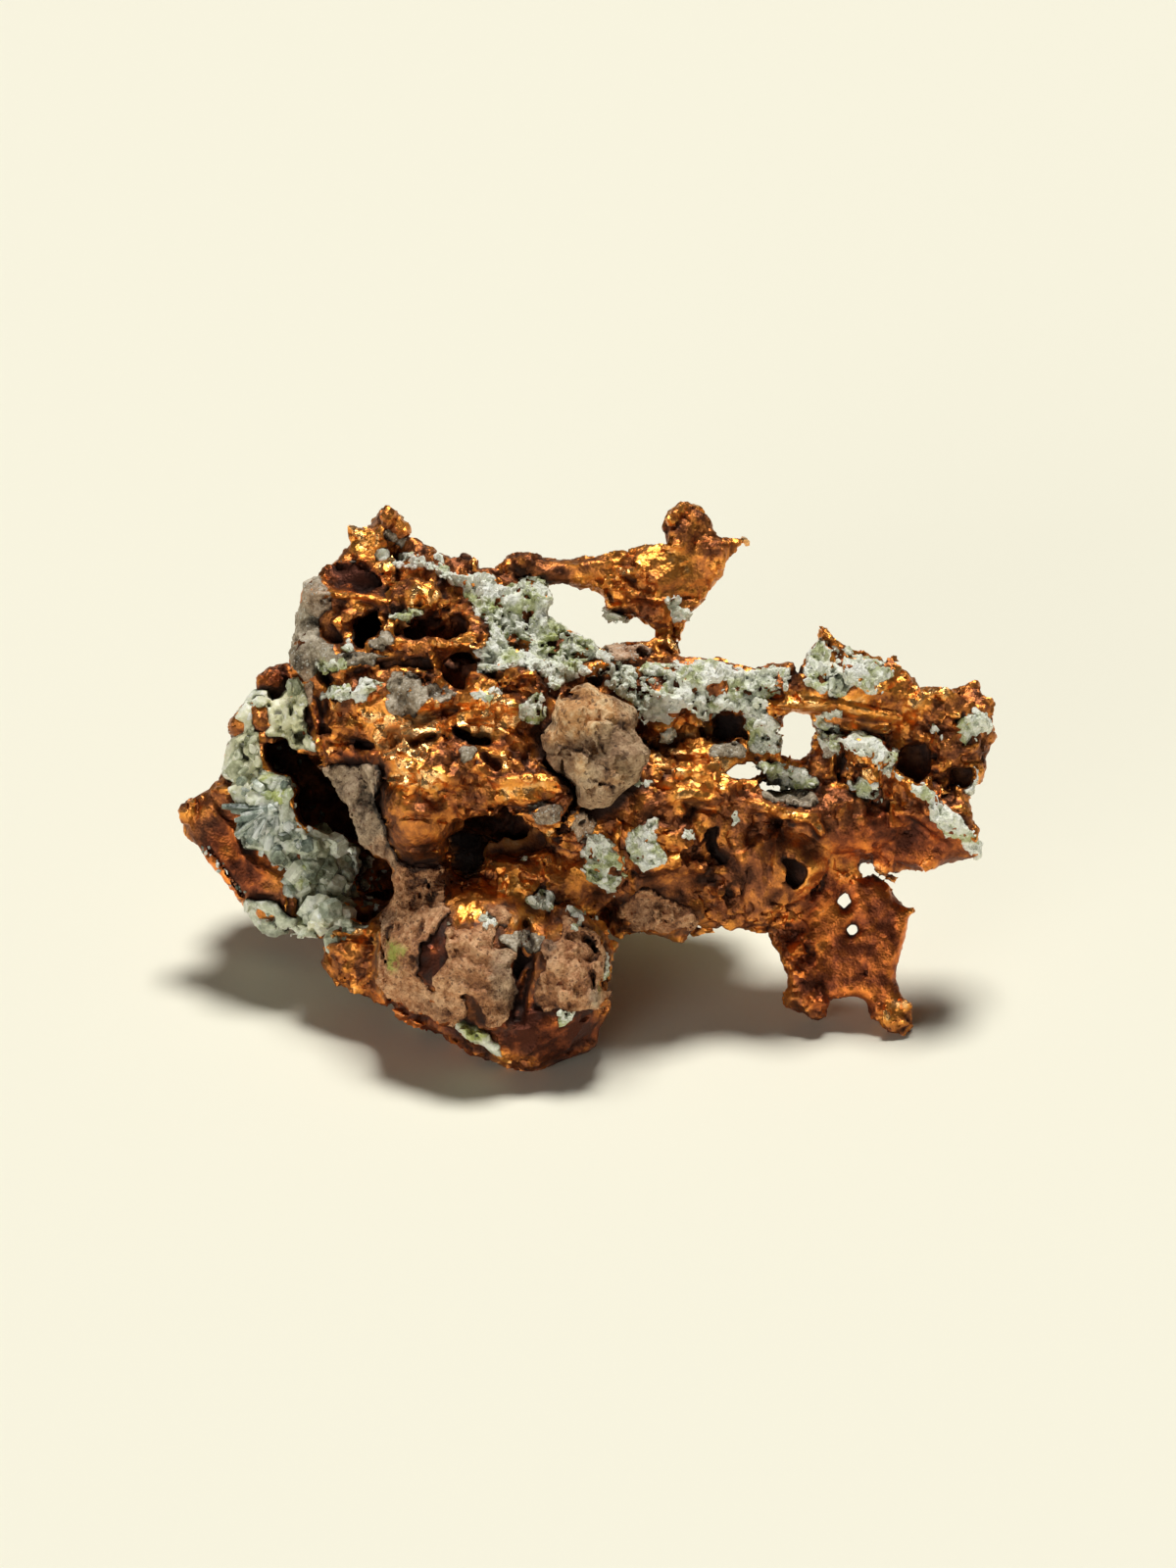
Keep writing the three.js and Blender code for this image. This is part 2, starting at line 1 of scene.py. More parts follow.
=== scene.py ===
"""Native copper specimen: the looks of a hackly lump of copper with rock, green crust and prehnite.

The specimen is drawn as it is seen from the front: x to the right, y up and z toward the viewer, in
millimetres. Its forms are fields that are negative inside the material. They are sampled on one fine grid,
roughened, and skinned, and the skins are then laid back onto the table in the shared frame, in metres.
"""

import logging
import math
from dataclasses import dataclass
from enum import Enum
from itertools import product
from typing import Callable, Iterator, Sequence

import bpy
import numpy as np
from mathutils import Euler, Matrix, Vector


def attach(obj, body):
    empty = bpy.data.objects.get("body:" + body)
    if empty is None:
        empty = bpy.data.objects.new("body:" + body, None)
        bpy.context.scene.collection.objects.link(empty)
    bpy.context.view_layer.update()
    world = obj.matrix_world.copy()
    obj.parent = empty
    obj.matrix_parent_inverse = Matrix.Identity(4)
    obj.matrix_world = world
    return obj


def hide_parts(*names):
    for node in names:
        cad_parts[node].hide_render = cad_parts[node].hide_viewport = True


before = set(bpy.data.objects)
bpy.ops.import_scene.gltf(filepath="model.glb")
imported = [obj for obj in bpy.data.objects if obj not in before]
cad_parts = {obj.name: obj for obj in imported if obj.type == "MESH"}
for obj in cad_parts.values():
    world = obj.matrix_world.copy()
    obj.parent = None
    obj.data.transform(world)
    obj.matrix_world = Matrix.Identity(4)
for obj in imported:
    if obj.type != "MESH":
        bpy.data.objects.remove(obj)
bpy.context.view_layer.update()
LOG = logging.getLogger("native_copper")

Array = np.ndarray
Point = tuple[float, float]
Outline = Sequence[Point]

# Driving sizes, in millimetres and degrees.
METRES = 0.001
VIEW_ELEVATION = math.radians(28.0)
TABLE_HEIGHT = -27.2
FRONT_SHIFT = (0.2, -0.7183)
CELL = 0.37
FAR = 6.0
REACH = 2.6
MOST_TRIANGLES = 190_000
OUTLINE_WANDER = 0.35
BACK_LIMIT = 27.8
CORNERS = tuple(product((0, 1), repeat=3))


class Mineral(Enum):
    """The record's material slots."""

    COPPER = "copper"
    ROCK = "rock"
    PREHNITE = "prehnite"
    GREEN_CRUST = "green_crust"


class Noise:
    """Repeatable noises of points in space, each with its own seed."""

    DIRECTIONS = np.array(
        [way for way in product((-1, 0, 1), repeat=3) if sum(map(abs, way)) == 2], np.float32,
    )
    SWING = np.float32(1.4)
    CREST = np.float32(1.6)
    CREST_LEVEL = 0.55
    FINER, FAINTER = 2.1, 0.5
    MARGIN, PLAY = np.float32(0.15), np.float32(0.7)

    @staticmethod
    def mixed(cell: Array, step: tuple[int, int, int], seed: int) -> Array:
        """Scramble lattice places into well mixed bits.

        Args:
            cell: Whole lattice places, one a row.
            step: What is added to each of them.
            seed: Which noise it is.

        Returns:
            One unsigned number for each place.
        """
        i, j, k = ((cell[:, n] + step[n]).astype(np.uint32) for n in range(3))
        h = i * np.uint32(374761393) + j * np.uint32(668265263)
        h += k * np.uint32(2246822519) + np.uint32(seed * 3266489917 % 2**32)
        h = (h ^ (h >> np.uint32(15))) * np.uint32(2654435761)
        h = (h ^ (h >> np.uint32(13))) * np.uint32(1274126177)
        return h ^ (h >> np.uint32(16))

    @classmethod
    def smooth(cls, p: Array, spacing: float, seed: int) -> Array:
        """Gradient noise between about -1 and 1.

        Args:
            p: Points, one a row.
            spacing: Distance between its lumps.
            seed: Which noise it is.

        Returns:
            One value for each point.
        """
        q = p / np.float32(spacing)
        base = np.floor(q)
        t = q - base
        fade = t * t * t * (t * (t * 6 - 15) + 10)
        cell = base.astype(np.int32)
        total = np.zeros(len(p), np.float32)
        for di, dj, dk in CORNERS:
            way = cls.DIRECTIONS[cls.mixed(cell, (di, dj, dk), seed) % np.uint32(len(cls.DIRECTIONS))]
            dot = way[:, 0] * (t[:, 0] - di) + way[:, 1] * (t[:, 1] - dj) + way[:, 2] * (t[:, 2] - dk)
            share = fade[:, 0] if di else 1 - fade[:, 0]
            share = share * (fade[:, 1] if dj else 1 - fade[:, 1])
            total += dot * share * (fade[:, 2] if dk else 1 - fade[:, 2])
        return total * cls.SWING

    @classmethod
    def layered(cls, p: Array, spacing: float, seed: int, layers: int = 3) -> Array:
        """Gradient noise with finer and fainter layers added.

        Args:
            p: Points, one a row.
            spacing: Distance between its largest lumps.
            seed: Which noise it is.
            layers: How many sizes of lump it has.

        Returns:
            One value for each point, between about -1 and 1.
        """
        total = np.zeros(len(p), np.float32)
        for layer in range(layers):
            part = cls.smooth(p, spacing / cls.FINER**layer, seed + 7 * layer)
            total += part * np.float32(cls.FAINTER**layer)
        return total

    @classmethod
    def ridged(cls, p: Array, spacing: float, seed: int) -> Array:
        """Noise with sharp crests, from 0 in its valleys to 1 on its crests."""
        return 1 - np.abs(cls.smooth(p, spacing, seed)) * cls.CREST

    @classmethod
    def cells(cls, p: Array, spacing: float, seed: int) -> tuple[Array, Array, Array]:
        """Nearest scattered points.

        Args:
            p: Points, one a row.
            spacing: Mean distance between scattered points.
            seed: Which scatter it is.

        Returns:
            Distances to the nearest and the next scattered point over the spacing, and a flat facet's
            height that leans its own way in each cell.
        """
        q = p / np.float32(spacing)
        base = np.floor(q - 0.5).astype(np.int32)
        first = np.full(len(p), 9, np.float32)
        second = first.copy()
        facet = np.zeros(len(p), np.float32)
        for step in CORNERS:
            h = cls.mixed(base, step, seed)
            shares = [((h >> np.uint32(s)) & np.uint32(1023)).astype(np.float32) / 1023 for s in (0, 10, 20)]
            gaps = [q[:, a] - base[:, a] - step[a] - cls.MARGIN - shares[a] * cls.PLAY for a in range(3)]
            away = np.sqrt(gaps[0] ** 2 + gaps[1] ** 2 + gaps[2] ** 2)
            lean = sum(gap * (share - 0.5) for gap, share in zip(gaps, (*shares[1:], shares[0])))
            nearer = away < first
            second = np.where(nearer, first, np.minimum(second, away))
            facet = np.where(nearer, lean * 2, facet)
            first = np.where(nearer, away, first)
        return first, second, facet


@dataclass
class Grid:
    """Evenly spaced points over a box of the front view, in millimetres."""

    low: tuple | Array
    high: tuple
    cell: float

    def __post_init__(self) -> None:
        """Lay the points out."""
        self.count = tuple(math.ceil((b - a) / self.cell) + 1 for a, b in zip(self.low, self.high))
        self.low = np.array(self.low, np.float32)
        x, y, z = (low + np.arange(n, dtype=np.float32) * self.cell for low, n in zip(self.low, self.count))
        self.x, self.y, self.z = x[:, None, None], y[None, :, None], z[None, None, :]

    def block(self, low: Sequence[float], high: Sequence[float]) -> tuple[slice, slice, slice]:
        """The slices of the grid that hold a box.

        Args:
            low: The box's lowest corner.
            high: The box's highest corner.

        Returns:
            One slice for each axis.
        """
        starts = [max(0, int((a - base) / self.cell)) for a, base in zip(low, self.low)]
        ends = [min(n, int((b - base) / self.cell) + 2) for b, base, n in zip(high, self.low, self.count)]
        return tuple(slice(a, max(a, b)) for a, b in zip(starts, ends))

    def points(self, chosen: Array) -> Array:
        """The places of grid points that are given by their flat numbers, one a row."""
        places = np.stack(np.unravel_index(chosen, self.count), axis=1).astype(np.float32)
        return places * np.float32(self.cell) + self.low


class Form:
    """A shape as a field of distances."""

    def box(self) -> tuple[tuple, tuple]:
        """The lowest and the highest corner of the box that it lies in."""
        raise NotImplementedError

    def field(self, x: Array, y: Array, z: Array) -> Array:
        """Distances to the form at points, negative inside it."""
        raise NotImplementedError


@dataclass(frozen=True)
class Lump(Form):
    """An ellipsoid by its middle and half sizes, turned in the picture plane by degrees counter-clockwise."""

    centre: tuple[float, float, float]
    radii: tuple[float, float, float]
    turn: float = 0.0

    def box(self) -> tuple[tuple, tuple]:
        """Find the lump's box.

        Returns:
            Its lowest and its highest corner.
        """
        wide = max(self.radii[:2]) if self.turn else 0
        spans = (max(self.radii[0], wide), max(self.radii[1], wide), self.radii[2])
        low = tuple(c - s for c, s in zip(self.centre, spans))
        return low, tuple(c + s for c, s in zip(self.centre, spans))

    def field(self, x: Array, y: Array, z: Array) -> Array:
        """Measure distances to the lump.

        Args:
            x, y, z: Points.

        Returns:
            Distances, negative inside the lump.
        """
        cos, sin = math.cos(math.radians(self.turn)), math.sin(math.radians(self.turn))
        dx, dy = x - self.centre[0], y - self.centre[1]
        u = (dx * cos + dy * sin) / self.radii[0]
        v = (dy * cos - dx * sin) / self.radii[1]
        w = (z - self.centre[2]) / self.radii[2]
        size = np.sqrt(u * u + v * v + w * w)
        slope = np.sqrt((u / self.radii[0]) ** 2 + (v / self.radii[1]) ** 2 + (w / self.radii[2]) ** 2)
        return size * (size - 1) / np.maximum(slope, 1e-4)


class Limb(Form):
    """A bent limb through stops of x, y, z and radius."""

    def __init__(self, *stops: tuple) -> None:
        """Keep the limb's stops."""
        self.stops = stops

    def box(self) -> tuple[tuple, tuple]:
        """Find the limb's box.

        Returns:
            Its lowest and its highest corner.
        """
        low = tuple(min(s[n] - s[3] for s in self.stops) for n in range(3))
        return low, tuple(max(s[n] + s[3] for s in self.stops) for n in range(3))

    def field(self, x: Array, y: Array, z: Array) -> Array:
        """Measure distances to the limb.

        Args:
            x, y, z: Points.

        Returns:
            Distances, negative inside the limb.
        """
        nearest = None
        for (ax, ay, az, ar), (bx, by, bz, br) in zip(self.stops, self.stops[1:]):
            ux, uy, uz = bx - ax, by - ay, bz - az
            along = ((x - ax) * ux + (y - ay) * uy + (z - az) * uz) / (ux * ux + uy * uy + uz * uz)
            t = np.clip(along, 0, 1)
            gap = np.sqrt((x - ax - t * ux) ** 2 + (y - ay - t * uy) ** 2 + (z - az - t * uz) ** 2)
            reach = gap - ar - t * (br - ar)
            nearest = reach if nearest is None else np.minimum(nearest, reach)
        return nearest


def outline_distance(outline: Outline, x: Array, y: Array) -> Array:
    """Signed distance to a closed outline in the picture plane.

    Args:
        outline: Its corners in order.
        x, y: Points of the picture plane.

    Returns:
        Distances, negative inside the outline.
    """
    x, y = np.broadcast_arrays(x, y)
    nearest = np.full(x.shape, 1e6, np.float32)
    inside = np.zeros(x.shape, bool)
    for (ax, ay), (bx, by) in zip(outline, [outline[-1], *outline[:-1]]):
        ux, uy = bx - ax, by - ay
        t = np.clip(((x - ax) * ux + (y - ay) * uy) / (ux * ux + uy * uy), 0, 1)
        nearest = np.minimum(nearest, (x - ax - t * ux) ** 2 + (y - ay - t * uy) ** 2)
        if ay != by:
            inside ^= ((ay > y) != (by > y)) & (x < (bx - ax) * (y - ay) / (by - ay) + ax)
    distance = np.sqrt(nearest)
    return np.where(inside, -distance, distance)


@dataclass(frozen=True)
class Plate(Form):
    """A plate with a rounded edge: its outline, half its thickness, and its depth z by x and y."""

    outline: Outline
    half: float
    depth: Callable

    def box(self) -> tuple[tuple, tuple]:
        """Find the plate's box.

        Returns:
            Its lowest and its highest corner.
        """
        depths = [self.depth(x, y) for x, y in self.outline]
        xs, ys = zip(*self.outline)
        return (min(xs), min(ys), min(depths) - self.half), (max(xs), max(ys), max(depths) + self.half)

    def field(self, x: Array, y: Array, z: Array) -> Array:
        """Measure distances to the plate.

        Args:
            x, y, z: Points.

        Returns:
            Distances, negative inside the plate.
        """
        edge = outline_distance(self.outline, x, y)
        return np.hypot(np.maximum(self.half + edge, 0), z - self.depth(x, y)) - self.half


def joined(a: Array, b: Array, blend: float) -> Array:
    """Join two fields, with a fillet of about the given size where they meet."""
    share = np.maximum(blend - np.abs(a - b), 0) / blend
    return np.minimum(a, b) - share * share * (blend / 4)


def cut(a: Array, b: Array, blend: float) -> Array:
    """What two fields share, with a rounding of about the given size where they meet."""
    return -joined(-a, -b, blend)


@dataclass
class Drawing:
    """A field on a grid that forms are added to and taken from."""

    grid: Grid

    def __post_init__(self) -> None:
        """Start with nothing drawn."""
        self.values = np.full(self.grid.count, FAR, np.float32)

    def _fields(self, forms: Sequence[Form]) -> Iterator[tuple[tuple, Array]]:
        """Draw forms one by one.

        Args:
            forms: The forms.

        Yields:
            The block of the grid near each form, and the form's field there.
        """
        grid = self.grid
        for form in forms:
            low, high = form.box()
            block = grid.block([a - FAR for a in low], [b + FAR for b in high])
            yield block, form.field(grid.x[block[0]], grid.y[:, block[1]], grid.z[:, :, block[2]])

    def grow(self, blend: float, *forms: Form) -> "Drawing":
        """Add forms.

        Args:
            blend: About how large the fillets between them are.
            forms: The forms.

        Returns:
            The drawing.
        """
        for block, values in self._fields(forms):
            self.values[block] = joined(self.values[block], np.minimum(values, FAR), blend)
        return self

    def pit(self, blend: float, *forms: Form) -> "Drawing":
        """Take forms out.

        Args:
            blend: About how large the rounding of their rims is.
            forms: The forms.

        Returns:
            The drawing.
        """
        for block, values in self._fields(forms):
            self.values[block] = cut(self.values[block], -values, blend)
        return self


def skin(values: Array, low: Array, cell: float) -> tuple[Array, Array]:
    """The closed surface where a field crosses zero, with one corner in each grid cell that it goes through.

    Args:
        values: The field on a block of grid points.
        low: The place of the block's first point.
        cell: Distance between the points.

    Returns:
        The surface's corners, one a row, and its four-sided faces as rows of corner numbers.
    """
    values = np.pad(values, 1, constant_values=FAR)
    inside = values < 0
    shape = tuple(n - 1 for n in values.shape)
    total = np.zeros(shape, np.uint8)
    for di, dj, dk in CORNERS:
        total += inside[di:di + shape[0], dj:dj + shape[1], dk:dk + shape[2]]
    numbers = np.flatnonzero((total > 0) & (total < 8))
    order = np.full(shape, -1, np.int32)
    order.flat[numbers] = np.arange(len(numbers), dtype=np.int32)
    corner = np.stack(np.unravel_index(numbers, shape), axis=1)
    summed = np.zeros((len(numbers), 3), np.float32)
    crossings = np.zeros(len(numbers), np.float32)
    flat = values.ravel()
    strides = np.array([values.shape[1] * values.shape[2], values.shape[2], 1])
    start = corner @ strides
    for axis in range(3):
        b, c = (axis + 1) % 3, (axis + 2) % 3
        for on_b, on_c in ((0, 0), (1, 0), (0, 1), (1, 1)):
            first = start + on_b * strides[b] + on_c * strides[c]
            here, there = flat[first], flat[first + strides[axis]]
            crossed = (here < 0) != (there < 0)
            share = np.where(crossed, here / np.where(crossed, here - there, 1), 0)
            summed[:, axis] += share
            summed[:, b] += np.where(crossed, on_b, 0)
            summed[:, c] += np.where(crossed, on_c, 0)
            crossings += crossed
    corners = (corner - 1 + summed / crossings[:, None]) * np.float32(cell) + low
    faces = []
    steps = np.array([shape[1] * shape[2], shape[2], 1])
    for axis in range(3):
        b, c = (axis + 1) % 3, (axis + 2) % 3
        here = [slice(0, -1)] * 3
        there = [slice(0, -1)] * 3
        there[axis] = slice(1, None)
        starts = inside[tuple(here)]
        changed = np.flatnonzero(starts != inside[tuple(there)])
        number = np.stack(np.unravel_index(changed, shape), axis=1) @ steps
        ring = np.stack([number, number - steps[b], number - steps[b] - steps[c], number - steps[c]], axis=1)
        ring = order.ravel()[ring]
        leaving = ~starts.ravel()[changed]
        ring[leaving] = ring[leaving][:, ::-1]
        faces.append(ring)
    return corners.astype(np.float32), np.concatenate(faces)


def whole_lumps(corners: Array, faces: Array, least: int) -> tuple[Array, Array]:
    """Leave out the crumbs of a skin.

    Args:
        corners: Its corners, one a row.
        faces: Its faces, as rows of corner numbers.
        least: The fewest corners that a separate lump may have.

    Returns:
        The corners and faces of its larger lumps.
    """
    label = np.arange(len(corners))
    ring = np.concatenate([faces[:, n:n + 2] for n in range(faces.shape[1] - 1)])
    while True:
        lower = np.minimum(label[ring[:, 0]], label[ring[:, 1]])
        before = label.copy()
        for side in (0, 1):
            np.minimum.at(label, ring[:, side], lower)
        label = label[label]
        if np.array_equal(label, before):
            break
    kept = np.bincount(label, minlength=len(corners))[label] >= least
    order = np.cumsum(kept) - 1
    return corners[kept], order[faces[kept[faces[:, 0]]]]


def laid_back(p: Array) -> Array:
    """Move points of the front view into the shared frame.

    Args:
        p: Points in millimetres, one a row, as seen from the front.

    Returns:
        The same points in metres, with +Z up and the table at zero.
    """
    sin, cos = math.sin(VIEW_ELEVATION), math.cos(VIEW_ELEVATION)
    x = p[:, 0] + FRONT_SHIFT[0]
    y = p[:, 1] * sin - p[:, 2] * cos + FRONT_SHIFT[1]
    z = p[:, 1] * cos + p[:, 2] * sin - TABLE_HEIGHT
    return np.stack([x, y, np.maximum(z, 0)], axis=1) * METRES


def new_object(name: str, corners: Array, faces: Array, values: dict[str, Array]) -> bpy.types.Object:
    """Make an object of a mesh drawn in the front view.

    Args:
        name: Its name.
        corners: Its corners in the front view, one a row.
        faces: Its faces, as rows of corner numbers.
        values: Named values of the corners, kept for its material.

    Returns:
        The new object, in the shared frame.
    """
    mesh = bpy.data.meshes.new(name)
    sides = faces.shape[1]
    mesh.vertices.add(len(corners))
    mesh.vertices.foreach_set("co", laid_back(corners).astype(np.float32).ravel())
    mesh.loops.add(faces.size)
    mesh.loops.foreach_set("vertex_index", faces.astype(np.int32).ravel())
    mesh.polygons.add(len(faces))
    mesh.polygons.foreach_set("loop_start", np.arange(0, faces.size, sides, dtype=np.int32))
    for key, numbers in values.items():
        mesh.attributes.new(key, "FLOAT", "POINT").data.foreach_set("value", numbers.astype(np.float32))
    mesh.update(calc_edges=True)
    mesh.validate()
    obj = bpy.data.objects.new(name, mesh)
    bpy.context.scene.collection.objects.link(obj)
    return obj


def thinned(obj: bpy.types.Object, most: int, sharp: float) -> bpy.types.Object:
    """Bring a piece under a number of triangles, and set which of its edges look sharp.

    Args:
        obj: The piece.
        most: The most triangles that it may have.
        sharp: Degrees between faces above which their edge looks sharp.

    Returns:
        The same piece.
    """
    triangles = (len(obj.data.polygons[0].vertices) - 2) * len(obj.data.polygons)
    if triangles > most:
        modifier = obj.modifiers.new("thinned", "DECIMATE")
        modifier.ratio = most / triangles
        graph = bpy.context.evaluated_depsgraph_get()
        mesh = bpy.data.meshes.new_from_object(obj.evaluated_get(graph), depsgraph=graph)
        obj.modifiers.clear()
        old, obj.data = obj.data, mesh
        mesh.name = obj.name
        bpy.data.meshes.remove(old)
    obj.data.shade_smooth()
    obj.data.set_sharp_from_angle(angle=math.radians(sharp))
    return obj


@dataclass(frozen=True)
class CopperForms:
    """The main forms of the copper and of the rock knob, before they are roughened.

    The cup is the left end, and its rim ends in a pointed fin. The upper block runs from the rind at the
    left edge to the peak, and the ridge falls from it to the root of the arm. The middle is the front above
    the shelf, the slope to the right and the belly. The shelf has the snout, the beam under the knob and the
    wall down to the lower lump. The back has the stub that the specimen rests on behind.
    """

    fin: Outline = (
        (-44.6, 0.9), (-47.5, -1.2), (-50.4, -3.1), (-49.3, -4.4), (-49.6, -5.8), (-47, -9.6), (-43.2, -14),
        (-39, -14.5), (-36.8, -16.4), (-35.8, -14), (-37.2, -10.8), (-40, -8.4), (-42.6, -7.4), (-42.4, -3),
    )
    arch_outline: Outline = (
        (-11.3, 24.6), (-10.6, 27), (-8.6, 29.2), (-5.2, 27.8), (0, 28.3), (5, 29.1), (10.5, 29.1),
        (9.3, 31.8), (10.6, 34.2), (12.2, 34.7), (14, 33.8), (16.2, 31.3), (18.8, 31.1), (20.1, 29.9),
        (18.5, 28.9), (16.6, 27.8), (16.2, 26.3), (14.6, 23.4), (11.7, 20.4), (11.4, 18), (11.9, 14.6),
        (7.8, 14.6), (8.4, 18.8), (6.6, 18.6), (5.3, 19.9), (2.2, 20.5), (1.5, 21.8), (2.1, 23.2),
        (-1.3, 23.4), (-4.2, 24.4), (-4.8, 22), (-9, 21.6),
    )
    arm_outline: Outline = (
        (19, 13.2), (22, 14.5), (25, 14.8), (25.3, 13), (26.4, 13.2), (26.3, 15.5), (28, 19.5),
        (30.5, 17.5), (35, 15.4), (37.4, 15.7), (39.8, 12.2), (46.2, 11.6), (47.6, 12.6), (50, 9.2),
        (49.3, 7.6), (50.4, 6.2), (49, 4), (48, 0.2), (46, -1.8), (46.4, -4.4), (47.6, -6), (48.3, -8.3),
        (43, -10), (39, -11.3), (38, -12.3), (36, -10.7), (35, -9.4), (33.4, -9.3), (31, -11), (24, -9),
        (20, -3), (18, 3), (18, 9),
    )
    foot_outline: Outline = (
        (21, -12), (27, -9.5), (32.6, -10.8), (35, -11.6), (38.8, -14.9), (40.5, -15.2), (39, -18.5),
        (37.9, -24), (39.8, -27.2), (39.7, -29.6), (38.7, -31), (35.4, -29.2), (33.9, -26.4), (31.6, -25.8),
        (29.4, -27), (28.1, -28.8), (24.1, -27.2), (23.6, -25.8), (24.4, -23), (23.2, -19.8), (20, -16),
    )
    cup: tuple[Form, ...] = (
        Lump((-36.3, -3, -13), (9.3, 14.4, 11)),
        Lump((-39.6, 4, -12), (4.6, 7, 6.5)),
        Lump((-38.5, 12.9, -10), (2.5, 1.8, 2.5), 20),
        Lump((-43.3, 7, -9), (1.2, 1.2, 1.4)),
        Lump((-38.8, -11.4, -13), (5.2, 5.8, 8), 30),
        Plate(fin, 1.9, lambda x, y: -6.5 + 0.25 * (x + 43) - 0.1 * (y + 7)),
    )
    upper_block: tuple[Form, ...] = (
        Lump((-27.4, 18, -10), (8, 9.2, 11)),
        Lump((-33.6, 22.8, -5), (2.3, 3.2, 4)),
        Lump((-34.1, 16.2, -4), (2.6, 3, 4.5)),
        Lump((-33.6, 10.6, -4), (2.2, 4, 5)),
        Limb((-26.5, 25, -10, 4.8), (-26.8, 29, -9, 2.7)),
        Lump((-24.8, 32.3, -9), (2.1, 2, 2.2), -30),
        Lump((-28.4, 31, -8.5), (1.3, 1.1, 1.2)),
        Limb((-23, 29.6, -9, 2.2), (-20, 27.2, -8, 2.4), (-15.5, 25.2, -7, 2.3)),
        Limb((-15.4, 28.2, -7, 0.7), (-14.8, 26, -7, 1.5)),
        Lump((-20.6, 22.8, 0), (2.9, 2.4, 3.4)),
        Limb((-30.5, 16.2, 1, 1.6), (-23, 16.4, 3, 1.5), (-15.5, 17, 3, 1.4)),
    )
    ridge: tuple[Form, ...] = (
        Limb((-20, 22.6, -8, 4.6), (-12.5, 21.4, -6, 4.4), (-7.8, 21.2, -6, 3.6)),
        Limb((-9, 17.4, -5, 3), (1, 12.4, -3, 4.2), (9, 10.2, -2, 4.6)),
        Limb((9, 10.2, -2, 4.6), (16, 10.6, -2, 4.4), (20.5, 10.4, -3, 3.2)),
        Limb((-8, 18.4, -6, 1.7), (0, 15.4, -6, 1.6), (7.6, 16.2, -6, 1.5)),
        Lump((-13.6, 18, 1), (2, 1.9, 2.4)),
    )
    middle: tuple[Form, ...] = (
        Lump((-24, 10, -4), (9, 7.5, 12)),
        Lump((-9.5, 8, -2), (10, 8.5, 11)),
        Lump((-12, 5, -15), (19, 14, 13)),
        Lump((4, -6, 0), (11, 9.5, 9.5)),
        Lump((-7, -11.5, 1), (9, 5, 8.5)),
        Lump((14.5, -4, -2), (9.5, 11, 8.5)),
        Lump((22.5, -8.5, -1), (7.5, 8, 6.5)),
        Lump((25.4, -9.8, 3), (3.4, 3.4, 3.6)),
        Lump((6, -1, -10), (16, 11, 10)),
        Limb((4.5, -14.4, -1, 3.1), (13, -14.8, 0, 2.9), (21.5, -14.4, 1, 3.5)),
        Lump((8.6, -15.2, 3.2), (3.8, 2.4, 2)),
    )
    shelf: tuple[Form, ...] = (
        Lump((-16, 1.8, 4), (11, 3.4, 11)),
        Lump((-20.3, -3.4, 5), (5, 6.6, 11)),
        Limb((-15, -0.9, 12, 2.6), (-8, -0.6, 12, 2.3), (-3.4, -1.6, 11, 2.3)),
        Lump((-5.2, -3.4, 12.2), (2.6, 1.6, 1.8)),
        Limb((-28.6, 3, 1, 3.2), (-26.6, -4, 3, 3.1), (-22.2, -11, 6, 2.7)),
        Limb((-22, -12, 5, 2.4), (-19, -14.5, 6, 4), (-14, -15, 5, 4.5)),
    )
    lower_lump: tuple[Form, ...] = (
        Lump((-14, -21.8, 6), (11.2, 9.6, 11)),
        Lump((-3, -23.4, 6.5), (5.8, 8.8, 8.5)),
        Lump((-8, -29.4, 7), (8.2, 4.9, 8)),
        Limb((-29, -20.8, -1, 3.6), (-24, -23, 1, 3.5), (-14, -28.4, 4, 3.6), (-6, -31, 7, 3.2)),
        Lump((-28.2, -17.4, -5), (5.6, 3.4, 6)),
        Lump((-24, -17, -4), (4.5, 4, 6)),
    )
    back: tuple[Form, ...] = (
        Lump((-14, -1, -22), (17, 12, 9)),
        Lump((-29, -12, -18), (7.5, 7.5, 5.5)),
        Limb((-20, -5, -24, 7), (-25, -11.5, -32.2, 4.2)),
    )
    cup_wells: tuple = (
        (-37.8, 3.8, 1.6), (-35.2, 1.4, 2.7), (-33.4, -2, 3.2), (-31, -5.2, 2.7), (-28.4, -8.8, 1.8),
        (-26.8, -12, 2.9),
    )
    hollows: tuple[Form, ...] = (
        Limb((-14.4, -8.2, 18, 2.4), (-15.2, -8.6, -3, 2.2)),
        Lump((-9.4, -6.3, 13), (5, 2, 7), 4),
        Limb((-27.2, 19.2, 6, 2.1), (-27.5, 18.8, -12, 1.9)),
        Lump((-29.3, 25, 2.5), (3.4, 2.2, 3.6), 20),
        Limb((-21.5, 19.4, 4.6, 1.2), (-15, 19.4, 4.6, 1.0)),
        Limb((-16, 14, 10, 1.8), (-15, 14.2, 3, 1.5)),
        Limb((-14.6, 5.8, 12, 1.4), (-11, 3.6, 4, 1.5)),
        Limb((16.6, 7.2, 8, 2.1), (16.4, 7, -2, 2)),
        Limb((15.2, -5.6, 9, 1), (15.2, -8.6, 6, 1.1)),
        Limb((-8, -20.8, 19, 1), (-7, -26, 17, 0.9)),
    )
    arch: tuple[Form, ...] = (
        Plate(arch_outline, 1.9, lambda x, y: -9 + np.maximum(0, (20 - y) * 0.7)),
        Lump((12.3, 32, -9), (2.4, 2.3, 2.5)),
        Lump((8, 25, -8.6), (4.5, 3.6, 3)),
        Lump((-8.4, 26.6, -8.6), (2.6, 2.3, 2.8)),
    )
